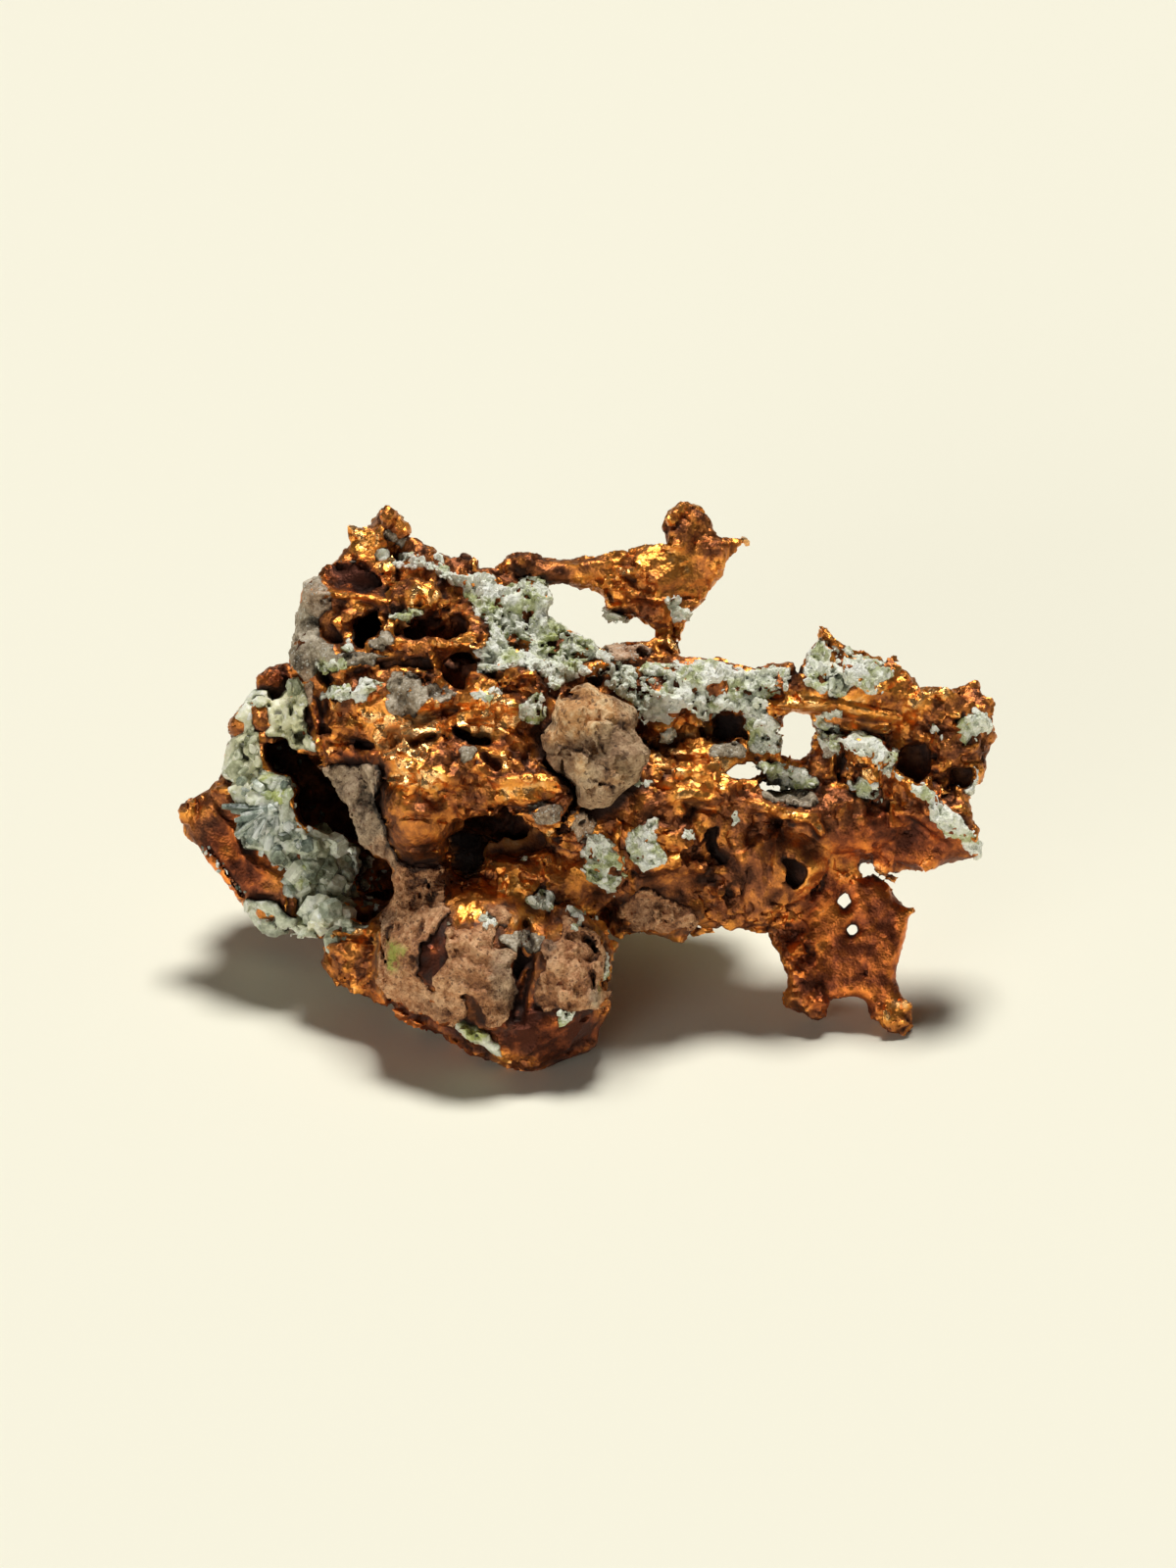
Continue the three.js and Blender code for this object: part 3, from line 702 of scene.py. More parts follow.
    arm: tuple[Form, ...] = (
        Plate(arm_outline, 2.4, lambda x, y: -1 + 0.02 * (x - 20)),
        Limb((21, 10.8, -1, 3), (31, 12.4, 0, 3.6), (37, 11.6, 0, 3.4), (46.5, 8.8, -1, 2.6)),
        Limb((33, 4.4, 2, 2.4), (40, -1.2, 3, 2.6), (46, -6, 2, 1.8)),
        Limb((48, 6, -2, 1.8), (46.8, 1.6, -2, 1.8)),
        Lump((30, 6, -4), (2.6, 3, 4)),
        Lump((30, -4.5, 1.5), (9, 4, 4)),
        Limb((21, -2.6, 4, 1.5), (27.4, -4.4, 5, 1.2)),
    )
    arm_hollows: tuple[Form, ...] = (
        Lump((41.2, 2.6, 4.6), (3.2, 2.4, 4), -20),
        Lump((45, 1.2, 3.4), (1.9, 1.5, 3)),
        Limb((45.8, 7.8, 5, 0.9), (45.6, 7.8, -1, 0.9)),
    )
    foot: tuple[Form, ...] = (
        Plate(foot_outline, 1.5, lambda x, y: -0.8 - 0.04 * (y + 20)),
        Limb((25.6, -14, -0.4, 2.8), (26.2, -22, -0.4, 2.1), (26.6, -26.4, -0.4, 1.8)),
        Lump((37.6, -28.8, -0.9), (1.9, 1.9, 2.2)),
    )
    knob: tuple[Form, ...] = (
        Lump((0.6, 6, 9), (6.2, 6.4, 7)),
        Lump((1.6, 1.8, 10), (6.6, 4.8, 7)),
        Lump((3.2, -0.8, 9), (4.4, 2.8, 5)),
    )

    def mass(self, grid: Grid) -> Drawing:
        """Draw the whole main body.

        Args:
            grid: The points that it is drawn on.

        Returns:
            The drawing.
        """
        wells = [Limb((x, y, 8, r), (x + 1.5, y, -12, r)) for x, y, r in self.cup_wells]
        drawing = Drawing(grid).grow(3, *self.middle, *self.back)
        drawing.grow(2.2, *self.upper_block, *self.ridge, *self.cup, *self.lower_lump, *self.shelf)
        return drawing.pit(1.0, *wells, *self.hollows)

    def parts(self, grid: Grid) -> list[Drawing]:
        """Draw the copper's four parts.

        Args:
            grid: The points that they are drawn on.

        Returns:
            The main body, the arch, the arm and the foot.
        """
        arch, arm, foot = (Drawing(grid).grow(1.2, *forms) for forms in (self.arch, self.arm, self.foot))
        return [self.mass(grid), arch, arm.pit(0.8, *self.arm_hollows), foot]


@dataclass
class Canvas:
    """Maps over the front view, one value for each column of the grid."""

    grid: Grid
    wide: tuple[float, float] = (3.1, 0.9)
    close: tuple[float, float] = (1.2, 0.45)

    def __post_init__(self) -> None:
        """Lay the map's columns out, and draw how its borders wander."""
        self.x, self.y = np.broadcast_arrays(self.grid.x[:, :, 0], self.grid.y[:, :, 0])
        self.flat = np.stack([self.x.ravel(), self.y.ravel(), np.zeros(self.x.size, np.float32)], axis=1)
        self.wander = [self._wander(seed) for seed in (11, 12)]

    def _wander(self, seed: int) -> Array:
        """Draw how far a map's borders wander to one side.

        Args:
            seed: Which noise it is.

        Returns:
            A map in millimetres.
        """
        wide = Noise.smooth(self.flat, self.wide[0], seed) * self.wide[1]
        close = Noise.smooth(self.flat, self.close[0], seed + 5) * self.close[1]
        return (wide + close).reshape(self.x.shape)

    def edge(self, outline: Outline, ragged: float = 0.0) -> Array:
        """Measure how far the columns are from an outline.

        Args:
            outline: Its corners in order.
            ragged: How much of the wander it takes.

        Returns:
            A map of distances, negative inside the outline.
        """
        x, y = self.x + self.wander[0] * ragged, self.y + self.wander[1] * ragged
        return outline_distance(outline, x, y).astype(np.float32)

    def patches(self, shapes: Sequence[tuple], ragged: float = 1.0) -> Array:
        """Measure how deep the columns lie inside a set of shapes.

        Args:
            shapes: Outlines, or ovals as x, y, half width, half height and turn in degrees.
            ragged: How much of the wander their borders take. Outlines take less of it.

        Returns:
            A map of depths in millimetres, negative outside all shapes.
        """
        deepest = np.full(self.x.shape, -FAR, np.float32)
        x, y = self.x + self.wander[0] * ragged, self.y + self.wander[1] * ragged
        for shape in shapes:
            if isinstance(shape[0], tuple):
                deepest = np.maximum(deepest, -self.edge(shape, OUTLINE_WANDER * ragged))
                continue
            px, py, rx, ry, *turn = shape
            angle = math.radians(turn[0]) if turn else 0.0
            u = ((x - px) * math.cos(angle) + (y - py) * math.sin(angle)) / rx
            v = ((y - py) * math.cos(angle) - (x - px) * math.sin(angle)) / ry
            deepest = np.maximum(deepest, (1 - np.hypot(u, v)) * min(rx, ry))
        return deepest

    def painted(self, rows: Sequence[tuple], ragged: float = 1.0, soft: float = 1.2) -> Array:
        """Paint values in shapes, the strongest of them winning where they overlap.

        Args:
            rows: Pairs of a shape and its value.
            ragged: How much of the wander their borders take.
            soft: Width of the soft borders.

        Returns:
            A map of values, 0 outside all shapes.
        """
        paint = np.zeros(self.x.shape, np.float32)
        for shape, strength in rows:
            value = strength * eased(self.patches((shape,), ragged) / soft + 0.4)
            paint = np.where(np.abs(value) > np.abs(paint), value, paint)
        return paint

    def stroke(self, stops: Sequence[tuple], edge: float) -> Array:
        """Draw a stroke.

        Args:
            stops: Its x, y and half width at each of its turns.
            edge: Width of its soft edge.

        Returns:
            A map that is 1 on its middle and falls to 0 over its edge.
        """
        nearest = np.full(self.x.shape, 1e3, np.float32)
        for (ax, ay, ar), (bx, by, br) in zip(stops, stops[1:]):
            ux, uy = bx - ax, by - ay
            t = np.clip(((self.x - ax) * ux + (self.y - ay) * uy) / max(ux * ux + uy * uy, 1e-6), 0, 1)
            away = np.hypot(self.x - ax - t * ux, self.y - ay - t * uy) - ar - t * (br - ar)
            nearest = np.minimum(nearest, away)
        return eased(-nearest / edge + 0.5)

    def at(self, values: Array, p: Array) -> Array:
        """Read a map at points in space.

        Args:
            values: The map.
            p: Points, one a row.

        Returns:
            One value for each point.
        """
        place = (p[:, :2] - self.grid.low[:2]) / self.grid.cell
        i = np.clip(place[:, 0].round().astype(np.int32), 0, values.shape[0] - 1)
        j = np.clip(place[:, 1].round().astype(np.int32), 0, values.shape[1] - 1)
        return values[i, j]


def eased(share: Array) -> Array:
    """Shares below 0 and above 1 cut off, and eased in between."""
    t = np.clip(share, 0, 1)
    return t * t * (3 - 2 * t)


@dataclass(frozen=True)
class Silhouette:
    """The outline that the specimen shows from the front, and the windows through it."""

    points: Outline = (
        (-36.5, 15), (-36, 18), (-35.5, 21), (-35, 24), (-33, 26.5), (-30.5, 27.3), (-30, 28.5), (-29, 29.5),
        (-29.5, 31.5), (-28.5, 32), (-26.5, 32.3), (-26, 34), (-25, 34.4), (-22.3, 32), (-22, 30.7),
        (-20, 30), (-18.7, 28), (-16.7, 27.8), (-15.5, 29), (-13.8, 27.4), (-13.8, 26.3), (-11.5, 26),
        *CopperForms.arch_outline[1:20], (11.5, 15.6), (15.5, 15.4),
        (20, 13.7), (22, 14.5), (25, 14.5), (25.2, 13), (26.3, 13), (26.5, 15.5), (27.7, 17), (28, 19.4),
        (30.5, 17.5), (31.5, 16.8), (35, 15.3), (37.5, 15.5), (38.7, 14.5), (40, 12), (41, 11.5),
        (46, 11.4), (47.5, 12.5), (47.8, 10.8), (49.5, 10), (50, 9), (49.3, 7.5), (50.2, 6.2), (49, 5),
        (48.8, 3), (48, 0.5), (46, -1.7), (46.5, -3), (46.3, -4.5), (47.3, -5.5), (47.5, -7.5), (48, -8.4),
        (46, -9), (43, -9.8), (40, -11), (38, -12), (36, -10.7), (35, -9.5), (33.5, -9.3), (33, -10.3),
        (33.5, -11.2), (35, -11.5), (37, -13), (39, -15.2), (40.2, -15.3), (39.2, -16.5), (39, -18),
        (38, -21), (37.7, -24), (38.5, -26.3), (39.5, -27), (39.5, -29.5), (38.8, -30.7), (37, -30.3),
        (35.5, -28.8), (34.5, -28.3), (34, -26.7), (33, -26), (30, -26.3), (29.3, -27), (29, -28.3),
        (28, -28.6), (27, -28), (24.3, -27), (23.8, -25.8), (24.8, -25), (24.6, -23), (24, -21),
        (23.3, -19.7), (22, -18.2), (17, -17.8), (14, -18), (11.5, -19), (8, -18), (5.5, -18), (4, -19),
        (3, -20.5), (2.8, -25), (2.5, -27), (1.8, -28.5), (1.2, -30), (1, -32), (0, -32.5), (-3, -33.5),
        (-6, -34.3), (-9, -34.5), (-12, -33.5), (-16, -32), (-20, -30), (-25, -26.8), (-29, -25.7),
        (-30.5, -24.7), (-32.3, -22), (-32, -20.5), (-33, -18.5), (-39, -18.3), (-41, -16.5), (-44, -13),
        (-47, -9.5), (-48, -7.5), (-49.7, -6.2), (-49.7, -4.8), (-50.3, -3.2), (-49.5, -2), (-46.5, -1),
        (-45.2, 0.5), (-44.5, 2), (-44.6, 4), (-44, 6), (-44.3, 7), (-43.8, 8), (-43, 9.3), (-40.5, 11),
        (-40.7, 13), (-39.5, 14.2), (-37, 14.7),
    )
    windows: tuple[Outline, ...] = (
        (
            (-4.5, 24.5), (0, 23.8), (2.2, 23), (1.6, 21.5), (3, 20.3), (5.3, 20), (7, 18.2), (5, 17.6),
            (1.5, 17), (-1.5, 18.7), (-4.8, 20.3), (-5, 21.5), (-4.4, 23),
        ),
        ((23.8, 8), (25, 8.9), (27, 8.4), (27.5, 6.5), (27.2, 4.2), (25.6, 3.4), (23.9, 4), (24.3, 6)),
        ((17, 1.4), (18, 2.4), (20.4, 2.4), (21.3, 1.7), (20, 0.8), (18, 0.7)),
        ((21, -0.2), (23, 0.2), (25.3, 0), (25, -0.9), (23, -1.1)),
        ((31.4, -13.6), (32.1, -14.3), (31.4, -15), (30.7, -14.3)),
        ((32.4, -17.4), (32.8, -17.8), (32.4, -18.2), (32, -17.8)),
        ((30.4, 13.2), (31.2, 12.4), (30.4, 11.6), (29.6, 12.4)),
    )
    neighbours: tuple = ((-1, 0), (1, 0), (0, -1), (0, 1), (-1, -1), (1, 1), (-1, 1), (1, -1))
    swell: float = 0.15
    widened: float = 0.35
    ragged: float = 0.16
    taper: float = 1.3
    spread: int = 14
    sheet_half: float = 1.1
    fillet: float = 1.6

    def edge(self, canvas: Canvas) -> Array:
        """Draw the outline and its windows, with a slightly ragged line.

        Args:
            canvas: Maps of the front.

        Returns:
            A map of distances, negative inside the specimen.
        """
        edge = canvas.edge(self.points) - self.swell
        for window in self.windows:
            edge = np.maximum(edge, self.widened - canvas.edge(window))
        return edge - canvas.wander[0] * self.ragged

    def filled(self, values: Array, grid: Grid, edge: Array) -> Array:
        """Add thin sheets of copper where the outline reaches past the forms, and cut what sticks out.

        Args:
            values: The field of the whole copper.
            grid: Its grid.
            edge: Signed distances of the grid's columns to the outline.

        Returns:
            The field with the outline's shape.
        """
        inside = values < 0
        count = inside.sum(axis=2)
        depth = np.where(count > 0, (inside * grid.z).sum(axis=2) / np.maximum(count, 1), np.nan)
        rows, columns = depth.shape
        for _ in range(self.spread):
            missing = np.isnan(depth) & (edge < 1)
            if not missing.any():
                break
            padded = np.pad(depth, 1, constant_values=np.nan)
            around = np.stack([padded[1 + a:1 + a + rows, 1 + b:1 + b + columns] for a, b in self.neighbours])
            known = np.isfinite(around)
            total = np.nansum(around, axis=0)
            depth = np.where(missing & known.any(axis=0), total / np.maximum(known.sum(axis=0), 1), depth)
        half = np.float32(self.sheet_half)
        reach = np.maximum(half + edge, 0)[:, :, None]
        away = np.where(np.isnan(depth), 99, depth)[:, :, None].astype(np.float32)
        sheet = np.sqrt(reach**2 + (grid.z - away) ** 2) - half
        return cut(joined(values, np.minimum(sheet, FAR), self.fillet), edge[:, :, None], self.taper)


@dataclass(frozen=True)
class Stroke:
    """A ridge or a groove drawn on the front: stops of x, y and half width, its height and its edge."""

    stops: tuple
    height: float
    edge: float


@dataclass(frozen=True)
class Grain:
    """Furrows that run side by side over a part of the front."""

    shapes: tuple
    turn: float
    spacing: float
    height: float
    seed: int
    stretch: float = 4.5

    def relief(self, canvas: Canvas, p: Array) -> Array:
        """Measure how far the furrows raise points.

        Args:
            canvas: Maps of the front.
            p: Points, one a row.

        Returns:
            Heights in millimetres.
        """
        share = canvas.at(eased(canvas.patches(self.shapes, 0.6) + 0.3), p)
        chosen = np.flatnonzero(share > 0.02)
        angle = math.radians(self.turn)
        x, y = p[chosen, 0], p[chosen, 1]
        along, across = x * math.cos(angle) + y * math.sin(angle), y * math.cos(angle) - x * math.sin(angle)
        lines = np.stack([along / self.stretch, across, p[chosen, 2] / 2], axis=1)
        raised = np.zeros(len(p), np.float32)
        crests = Noise.ridged(lines, self.spacing, self.seed) - Noise.CREST_LEVEL
        raised[chosen] = self.height * crests * share[chosen]
        return raised


@dataclass(frozen=True)
class Well:
    """A hole that is sunk in the front: its outline, its depth under its rim, and how dark its inside is
    painted, which is painted shade.
    """

    outline: tuple
    depth: float
    # How strongly the inside is painted dark: painted shade.
    dark: float = 1.0


@dataclass
class CopperBody:
    """The roughened copper, and the depth of its front.

    Pairs of numbers are a noise's spacing and its height, both in millimetres.
    """

    grid: Grid
    canvas: Canvas
    bend: tuple[float, float] = (6.0, 1.1)
    lumps: tuple[float, float] = (5.2, 0.4)
    crests: tuple[float, float] = (3.6, 0.6)
    facets: tuple[float, float] = (2.7, 0.8)
    slabs: tuple[float, float] = (6.0, 1.3)
    creases: tuple[float, float] = (1.7, 0.22)
    ledges: tuple[float, float] = (3.6, 0.7)
    calmed: float = 0.75
    rim: float = 0.5
    strokes: tuple[Stroke, ...] = (
        Stroke(((-24, 2.6, 0.8), (-19, 1.6, 1.0), (-16, 0.2, 0.8)), 0.8, 1.2),
        Stroke(((-33, 4.4, 0.7), (-28, 3.4, 0.8), (-23.6, 3.2, 0.6)), 0.7, 0.8),
        Stroke(((-31, 6.8, 0.7), (-26, 6.0, 0.8)), 0.5, 0.7),
        Stroke(((-33.8, 10.2, 0.4), (-33.2, 7.4, 0.5), (-33.4, 4.6, 0.4)), 1.2, 0.7),
        Stroke(((-22, 6, 0.8), (-17, 7.4, 0.9), (-12.5, 8.6, 0.7)), 1.3, 0.9),
        Stroke(((-20, 9.4, 0.8), (-14, 10.6, 0.8), (-9, 9.8, 0.7)), 1.1, 0.8),
        Stroke(((-25.2, -4.6, 0.2), (-22, -3.9, 0.3), (-17, -4.4, 0.2)), -0.4, 0.4),
        Stroke(((-24.0, -7.6, 0.2), (-20.6, -8.0, 0.25), (-17.4, -7.6, 0.2)), -0.4, 0.4),
        Stroke(((-33, -17.9, 0.25), (-27, -17.2, 0.3)), -1.0, 0.4),
        Stroke(((-32.6, -19.4, 0.25), (-27.4, -18.8, 0.3)), -1.0, 0.4),
        Stroke(((20, -2.4, 0.7), (24, -3.6, 0.8), (27.5, -4.2, 0.7), (28.5, -6, 0.5)), 1.5, 0.7),
        Stroke(((32, 5, 1.0), (37.5, 2, 1.1), (40, 0, 1.0), (42, -3, 1.1), (46, -5, 1.0)), 0.7, 1.0),
        Stroke(((-5.3, 2.5, 0.2), (-3, 0.7, 0.3), (-1.4, -0.7, 0.3), (-1.4, -2.0, 0.3), (-3.1, -4.3, 0.2)),
               -2.2, 0.5),
        Stroke(((-7.6, -17, 0.6), (-7.4, -21, 0.9), (-8.2, -24.5, 0.9), (-8.6, -28.4, 0.8)), -1.3, 0.8),
        Stroke(((-11.4, 0.4, 0.5), (-7, 0.7, 0.6), (-4, 0.6, 0.5)), 0.8, 0.7),
        Stroke(((-12.0, -2.9, 0.3), (-7, -3.0, 0.3), (-1.8, -0.9, 0.2)), -0.9, 0.4),
        Stroke(((-24.2, 17.2, 0.5), (-19, 17.1, 0.5), (-15.6, 16.9, 0.4)), 0.5, 0.6),
        Stroke(((-15.0, 20.6, 0.3), (-12.6, 19.0, 0.4), (-12.6, 17.0, 0.3), (-14.6, 16.4, 0.2)), 0.8, 0.6),
        Stroke(((-33, 23.3, 0.3), (-28, 23.2, 0.4), (-24.4, 22.2, 0.3)), 1.1, 0.6),
        Stroke(((-25.6, 30.8, 0.5), (-24.2, 33.2, 0.5)), 1.0, 0.7),
        Stroke(((22, 9.6, 0.6), (30, 9.4, 0.8), (38, 8.0, 0.6)), 1.1, 1.0),
        Stroke(((22, 6.4, 0.3), (28, 6.6, 0.3), (36, 5.8, 0.3)), -1.0, 0.5),
        Stroke(((-46.6, -3.0, 0.3), (-43.6, -5.8, 0.3), (-42.6, -8.8, 0.3), (-38.4, -11.6, 0.3)), 0.7, 0.8),
        Stroke(((-46.8, -7.8, 0.15), (-44.6, -10.6, 0.2), (-42.4, -13.8, 0.2)), -1.0, 0.4),
        Stroke(((7.8, -2.5, 0.5), (12, -1.0, 0.7), (16.5, -2.0, 0.5)), 1.0, 0.8),
        Stroke(((6, -11, 0.5), (11, -9.4, 0.6), (14, -10.4, 0.4)), 0.9, 0.8),
        Stroke(((-9.4, 27.2, 1.2), (-7.0, 27.0, 1.2), (-4, 26.2, 1.2), (6, 26.8, 1.2)), 0.9, 1.2),
    )
    grains: tuple[Grain, ...] = (
        Grain(((-20.4, -6, 5.4, 4.4),), 2, 1.4, 0.3, 211),
        Grain(((20, -10, 6, 5.5),), 82, 1.6, 0.4, 212),
        Grain(((-30, -18.9, 4.2, 2.2),), 8, 1.2, 0.8, 213),
        Grain(((8, 25.5, 5.5, 4),), 38, 1.7, 0.35, 214),
        Grain(((-6, -30, 7.5, 4),), 22, 1.8, 0.5, 215),
        Grain(((-14.6, -14.9, 3.4, 2.4),), 62, 1.1, 0.6, 216),
        Grain(((32, 9, 9, 3),), -8, 2.0, 0.25, 217),
    )
    calm: tuple = (
        (-33.6, 18, 3.4, 7), (-27.5, -3, 4, 8.5), (-23, -12, 4.5, 6), (32, 9, 9, 3), (-29, 25, 4, 2.6),
        (34, -20, 7, 9), (-43, -8, 8, 6.5, -50), (-13, -21, 12, 9), (-20, -6, 6, 5), (40, -7, 8, 4, -15),
        (-26.5, 21.9, 4, 1.8, -28), (-11.4, 6, 2.4, 2.6), (-3, -30, 7, 5), (-8, -0.4, 5, 1.6),
        (28, -8, 7, 4), (22, -11, 6, 5), (0, -12, 5, 3), (10, -13, 6, 3), (-28.6, 3.2, 5, 1.4),
        (12, 26, 5, 4), (-9, -8, 4, 2), (-22, 6.6, 5, 2), (-1, 26.5, 6, 2),
    )
    wells: tuple[Well, ...] = (
        Well(((-39.8, 5), (-37.6, 5.4), (-34.3, 3.2), (-31.9, 0.7), (-31.2, -1), (-30, -2.6), (-28.1, -6.9),
              (-29.6, -6.9), (-33.4, -5.4), (-34.6, -5.2), (-35.7, -4), (-36.1, -0.7), (-36.4, 1.2),
              (-39, 2.1), (-40, 3.1)), 6.0, 0.6),
        Well(((-27.7, -9), (-26.6, -8.2), (-24.8, -9.4), (-23.6, -10.6), (-23.6, -12), (-24.3, -14.2),
              (-25.4, -15.6), (-27.7, -17.2), (-30, -16.4), (-29.6, -13.9), (-28.4, -11.9)), 4.5, 0.4),
        Well(((-29.2, 19.1), (-28.1, 20.1), (-26.5, 21.3), (-25.7, 21.2), (-25.3, 19.7), (-25.7, 18.9),
              (-26.9, 18), (-27.1, 16.7), (-27.9, 16.8), (-28.3, 18)), 8.0),
        Well(((-30.2, 27.3), (-27.7, 27.1), (-26.1, 25.1), (-25, 24.4), (-27.3, 23.8), (-30, 24),
        (-32.0, 24.2),
              (-31.8, 25.7)), 1.4, 0.1),
        Well(((-22.8, 18.4), (-21, 17.7), (-18, 17.8), (-16.2, 17.6), (-14.6, 18.6), (-14.7, 20), (-16, 21),
              (-18, 20.5), (-18.6, 19.6), (-21, 19.7)), 1.5, 0.15),
        Well(((-16.4, 16), (-14.6, 16.1), (-13.6, 14.9), (-13.8, 13.5), (-15.3, 11.6), (-16.6, 11.9),
              (-17.7, 13.1), (-17.4, 14.5)), 3.0, 0.5),
        Well(((-25.4, 15.1), (-20, 15.3), (-18.4, 14.6), (-20, 14), (-25, 14.2)), 1.5, 0.5),
        Well(((-16.7, -6.9), (-15.7, -6.1), (-14.3, -5.9), (-12.9, -6.5), (-12.3, -7.9), (-12.5, -9.3),
              (-13.5, -10.9), (-14.3, -11.7), (-15.3, -11.5), (-16.7, -10.1)), 10.0),
        Well(((-14.9, -5.5), (-14.1, -4.1), (-12.1, -3.5), (-8.9, -4.0), (-6.9, -5.0), (-5.3, -5.6),
        (-4.5, -7.1),
              (-6.5, -8.1), (-9.5, -8.7), (-12.1, -9.1)), 4.0, 0.6),
        Well(((-16.6, 6.3), (-15.3, 6.8), (-13.7, 6.5), (-12.5, 5.4), (-13.5, 4.7), (-15.3, 5.2)), 2.5, 0.6),
        Well(((-12.9, 3.7), (-11.1, 3.7), (-10.7, 2.5), (-11.3, 1.7), (-12.5, 2.5)), 2.0, 0.6),
        Well(((15, 5.6), (15.6, 7.8), (17, 8.6), (19, 8.2), (19.2, 6), (17.4, 5.2)), 3.5),
        Well(((37.7, 2.4), (39, 4.6), (41.4, 4.7), (41.9, 2.2), (40.4, -0.1), (38.6, 0)), 2.2, 0.85),
        Well(((43.9, -0.6), (44.2, 2), (46.6, 2), (47.1, 0.4), (45.6, -0.9)), 3.0, 0.75),
        Well(((14.3, -5.2), (15.4, -5.4), (16, -7.6), (17, -9.9), (16.3, -10.1), (14.9, -7.6)), 2.5, 0.9),
        Well(((23.6, -9.4), (25, -8.8), (26.4, -9.6), (26.6, -11.4), (25.2, -12.6), (23.8, -11.8)), 3.0, 0.7),
        Well(((-8.2, -20.1), (-7, -21), (-7.6, -22.3), (-8.5, -23.8), (-9, -22)), 3.0, 0.9),
        Well(((0, 13.1), (1.6, 13.1), (1.6, 11.9), (0, 11.9)), 2.5),
        Well(((-23.5, -26.8), (-20, -28.0), (-17, -29.2), (-14.7, -30.8), (-10, -33.6), (-11.5, -33.9),
              (-15.5, -31.8), (-20, -29), (-24, -27.4)), 1.5, 0.7),
        Well(((-32.4, 19.8), (-30.6, 19.4), (-30.2, 17.6), (-31.6, 17.4), (-32.6, 18.4)), 1.2, 0.3),
    )
    ledge_bend: float = 7.5
    ledge_patch: float = 9.0
    ledge_slant: float = 0.25
    table_gap: float = 0.03

    def __post_init__(self) -> None:
        """Draw the forms and roughen them."""
        self.parts = CopperForms().parts(self.grid)
        whole = self.parts[0].values
        for other in self.parts[1:]:
            whole = joined(whole, other.values, 1.5)
        self.outline = Silhouette().edge(self.canvas)
        whole = Silhouette().filled(whole, self.grid, self.outline)
        self.front = self.depth_of(whole)
        self.quiet = eased(self.canvas.patches(self.calm, 0.5) / 1.5)
        self._map_wells()
        self.values = self.on_table(self.sunk(self.roughened(whole)))
        self.front = self.depth_of(self.values)
        self.outer = self.values
        LOG.info("copper drawn on %s points", self.grid.count)

    def depth_of(self, values: Array) -> Array:
        """Find the depth of the front surface of a field in each column.

        Args:
            values: The field.

        Returns:
            A map of depths, the lowest one where a column is empty.
        """
        inside = values < 0
        last = inside.shape[2] - 1 - np.argmax(inside[:, :, ::-1], axis=2)
        return np.where(inside.any(axis=2), self.grid.low[2] + last * self.grid.cell, self.grid.low[2])

    def facing(self, p: Array, fade: float = 7.0) -> Array:
        """Tell how much points belong to the front.

        Args:
            p: Points, one a row.
            fade: How far behind the front they still count, in millimetres.

        Returns:
            1 on the front, falling to 0 behind it.
        """
        rim = np.maximum(self.canvas.at(self.front, p), self.canvas.at(self.rims, p))
        return eased(1.6 - (rim - p[:, 2]) / fade)

    def near(self, values: Array, reach: float) -> Array:
        """Flat numbers of the grid points within reach of a field's surface."""
        return np.flatnonzero(np.abs(values.ravel()) < reach)

    def _map_wells(self) -> None:
        """Draw the maps of the wells: the depth of their rims, the painted shade of their insides and the
        distance to them.
        """
        shape = self.canvas.x.shape
        self.rims = np.full(shape, self.grid.low[2], np.float32)
        self.dark = np.zeros(shape, np.float32)
        self.clear = np.full(shape, FAR, np.float32)
        self.sinks = []
        for well in self.wells:
            edge = self.canvas.edge(well.outline, 0.7)
            top = float(np.median(self.front[np.abs(edge) < 0.8]))
            self.rims = np.where(edge < 0.5, np.maximum(self.rims, top), self.rims)
            # Painted shade: the inside of each well is painted dark.
            self.dark = np.maximum(self.dark, well.dark * eased(0.6 - edge))
            self.clear = np.minimum(self.clear, edge)
            self.sinks.append((edge, top - well.depth))

    def sunk(self, values: Array) -> Array:
        """Sink the wells into a field.

        Args:
            values: The field.

        Returns:
            The field with the wells cut out of it.
        """
        grid = self.grid
        for well, (edge, floor) in zip(self.wells, self.sinks):
            low = [min(point[n] for point in well.outline) - 2 for n in (0, 1)]
            high = [max(point[n] for point in well.outline) + 2 for n in (0, 1)]
            block = grid.block([*low, floor - 2], [*high, grid.low[2] + grid.cell * grid.count[2]])
            hole = np.maximum(edge[block[0], block[1], None], floor - grid.z[:, :, block[2]])
            values[block] = cut(values[block], -hole, self.rim)
        return values

    def roughened(self, whole: Array) -> Array:
        """Roughen the smooth copper with drawn ridges and grooves, ledges, crests and leaning facets.

        Args:
            whole: The smooth field.

        Returns:
            The rough field.
        """
        chosen = self.near(whole, REACH)
        p = self.grid.points(chosen)
        bend = np.stack([Noise.smooth(p, self.bend[0], seed) for seed in (1, 2, 3)], axis=1)
        q = p + bend * np.float32(self.bend[1])
        near, following, facet = Noise.cells(q, self.facets[0], 21)
        raised = self.facets[1] * facet + 0.3 * (following - near)
        raised += self.slabs[1] * Noise.cells(q, self.slabs[0], 25)[2]
        raised += self.lumps[1] * Noise.smooth(q, self.lumps[0], 24)
        for (spacing, height), seed in ((self.crests, 22), (self.creases, 23)):
            raised += height * (Noise.ridged(q, spacing, seed) - Noise.CREST_LEVEL)
        raised += self._stepped(q)
        facing = self.facing(p)
        raised *= 1 - self.calmed * facing * self.canvas.at(self.quiet, p)
        relief = sum(stroke.height * self.canvas.stroke(stroke.stops, stroke.edge) for stroke in self.strokes)
        raised += facing * self.canvas.at(relief, p)
        raised += facing * sum(grain.relief(self.canvas, p) for grain in self.grains)
        rough = whole.copy()
        rough.flat[chosen] -= raised.astype(np.float32)
        return cut(rough, self.outline[:, :, None] - np.float32(0.25), 0.5)

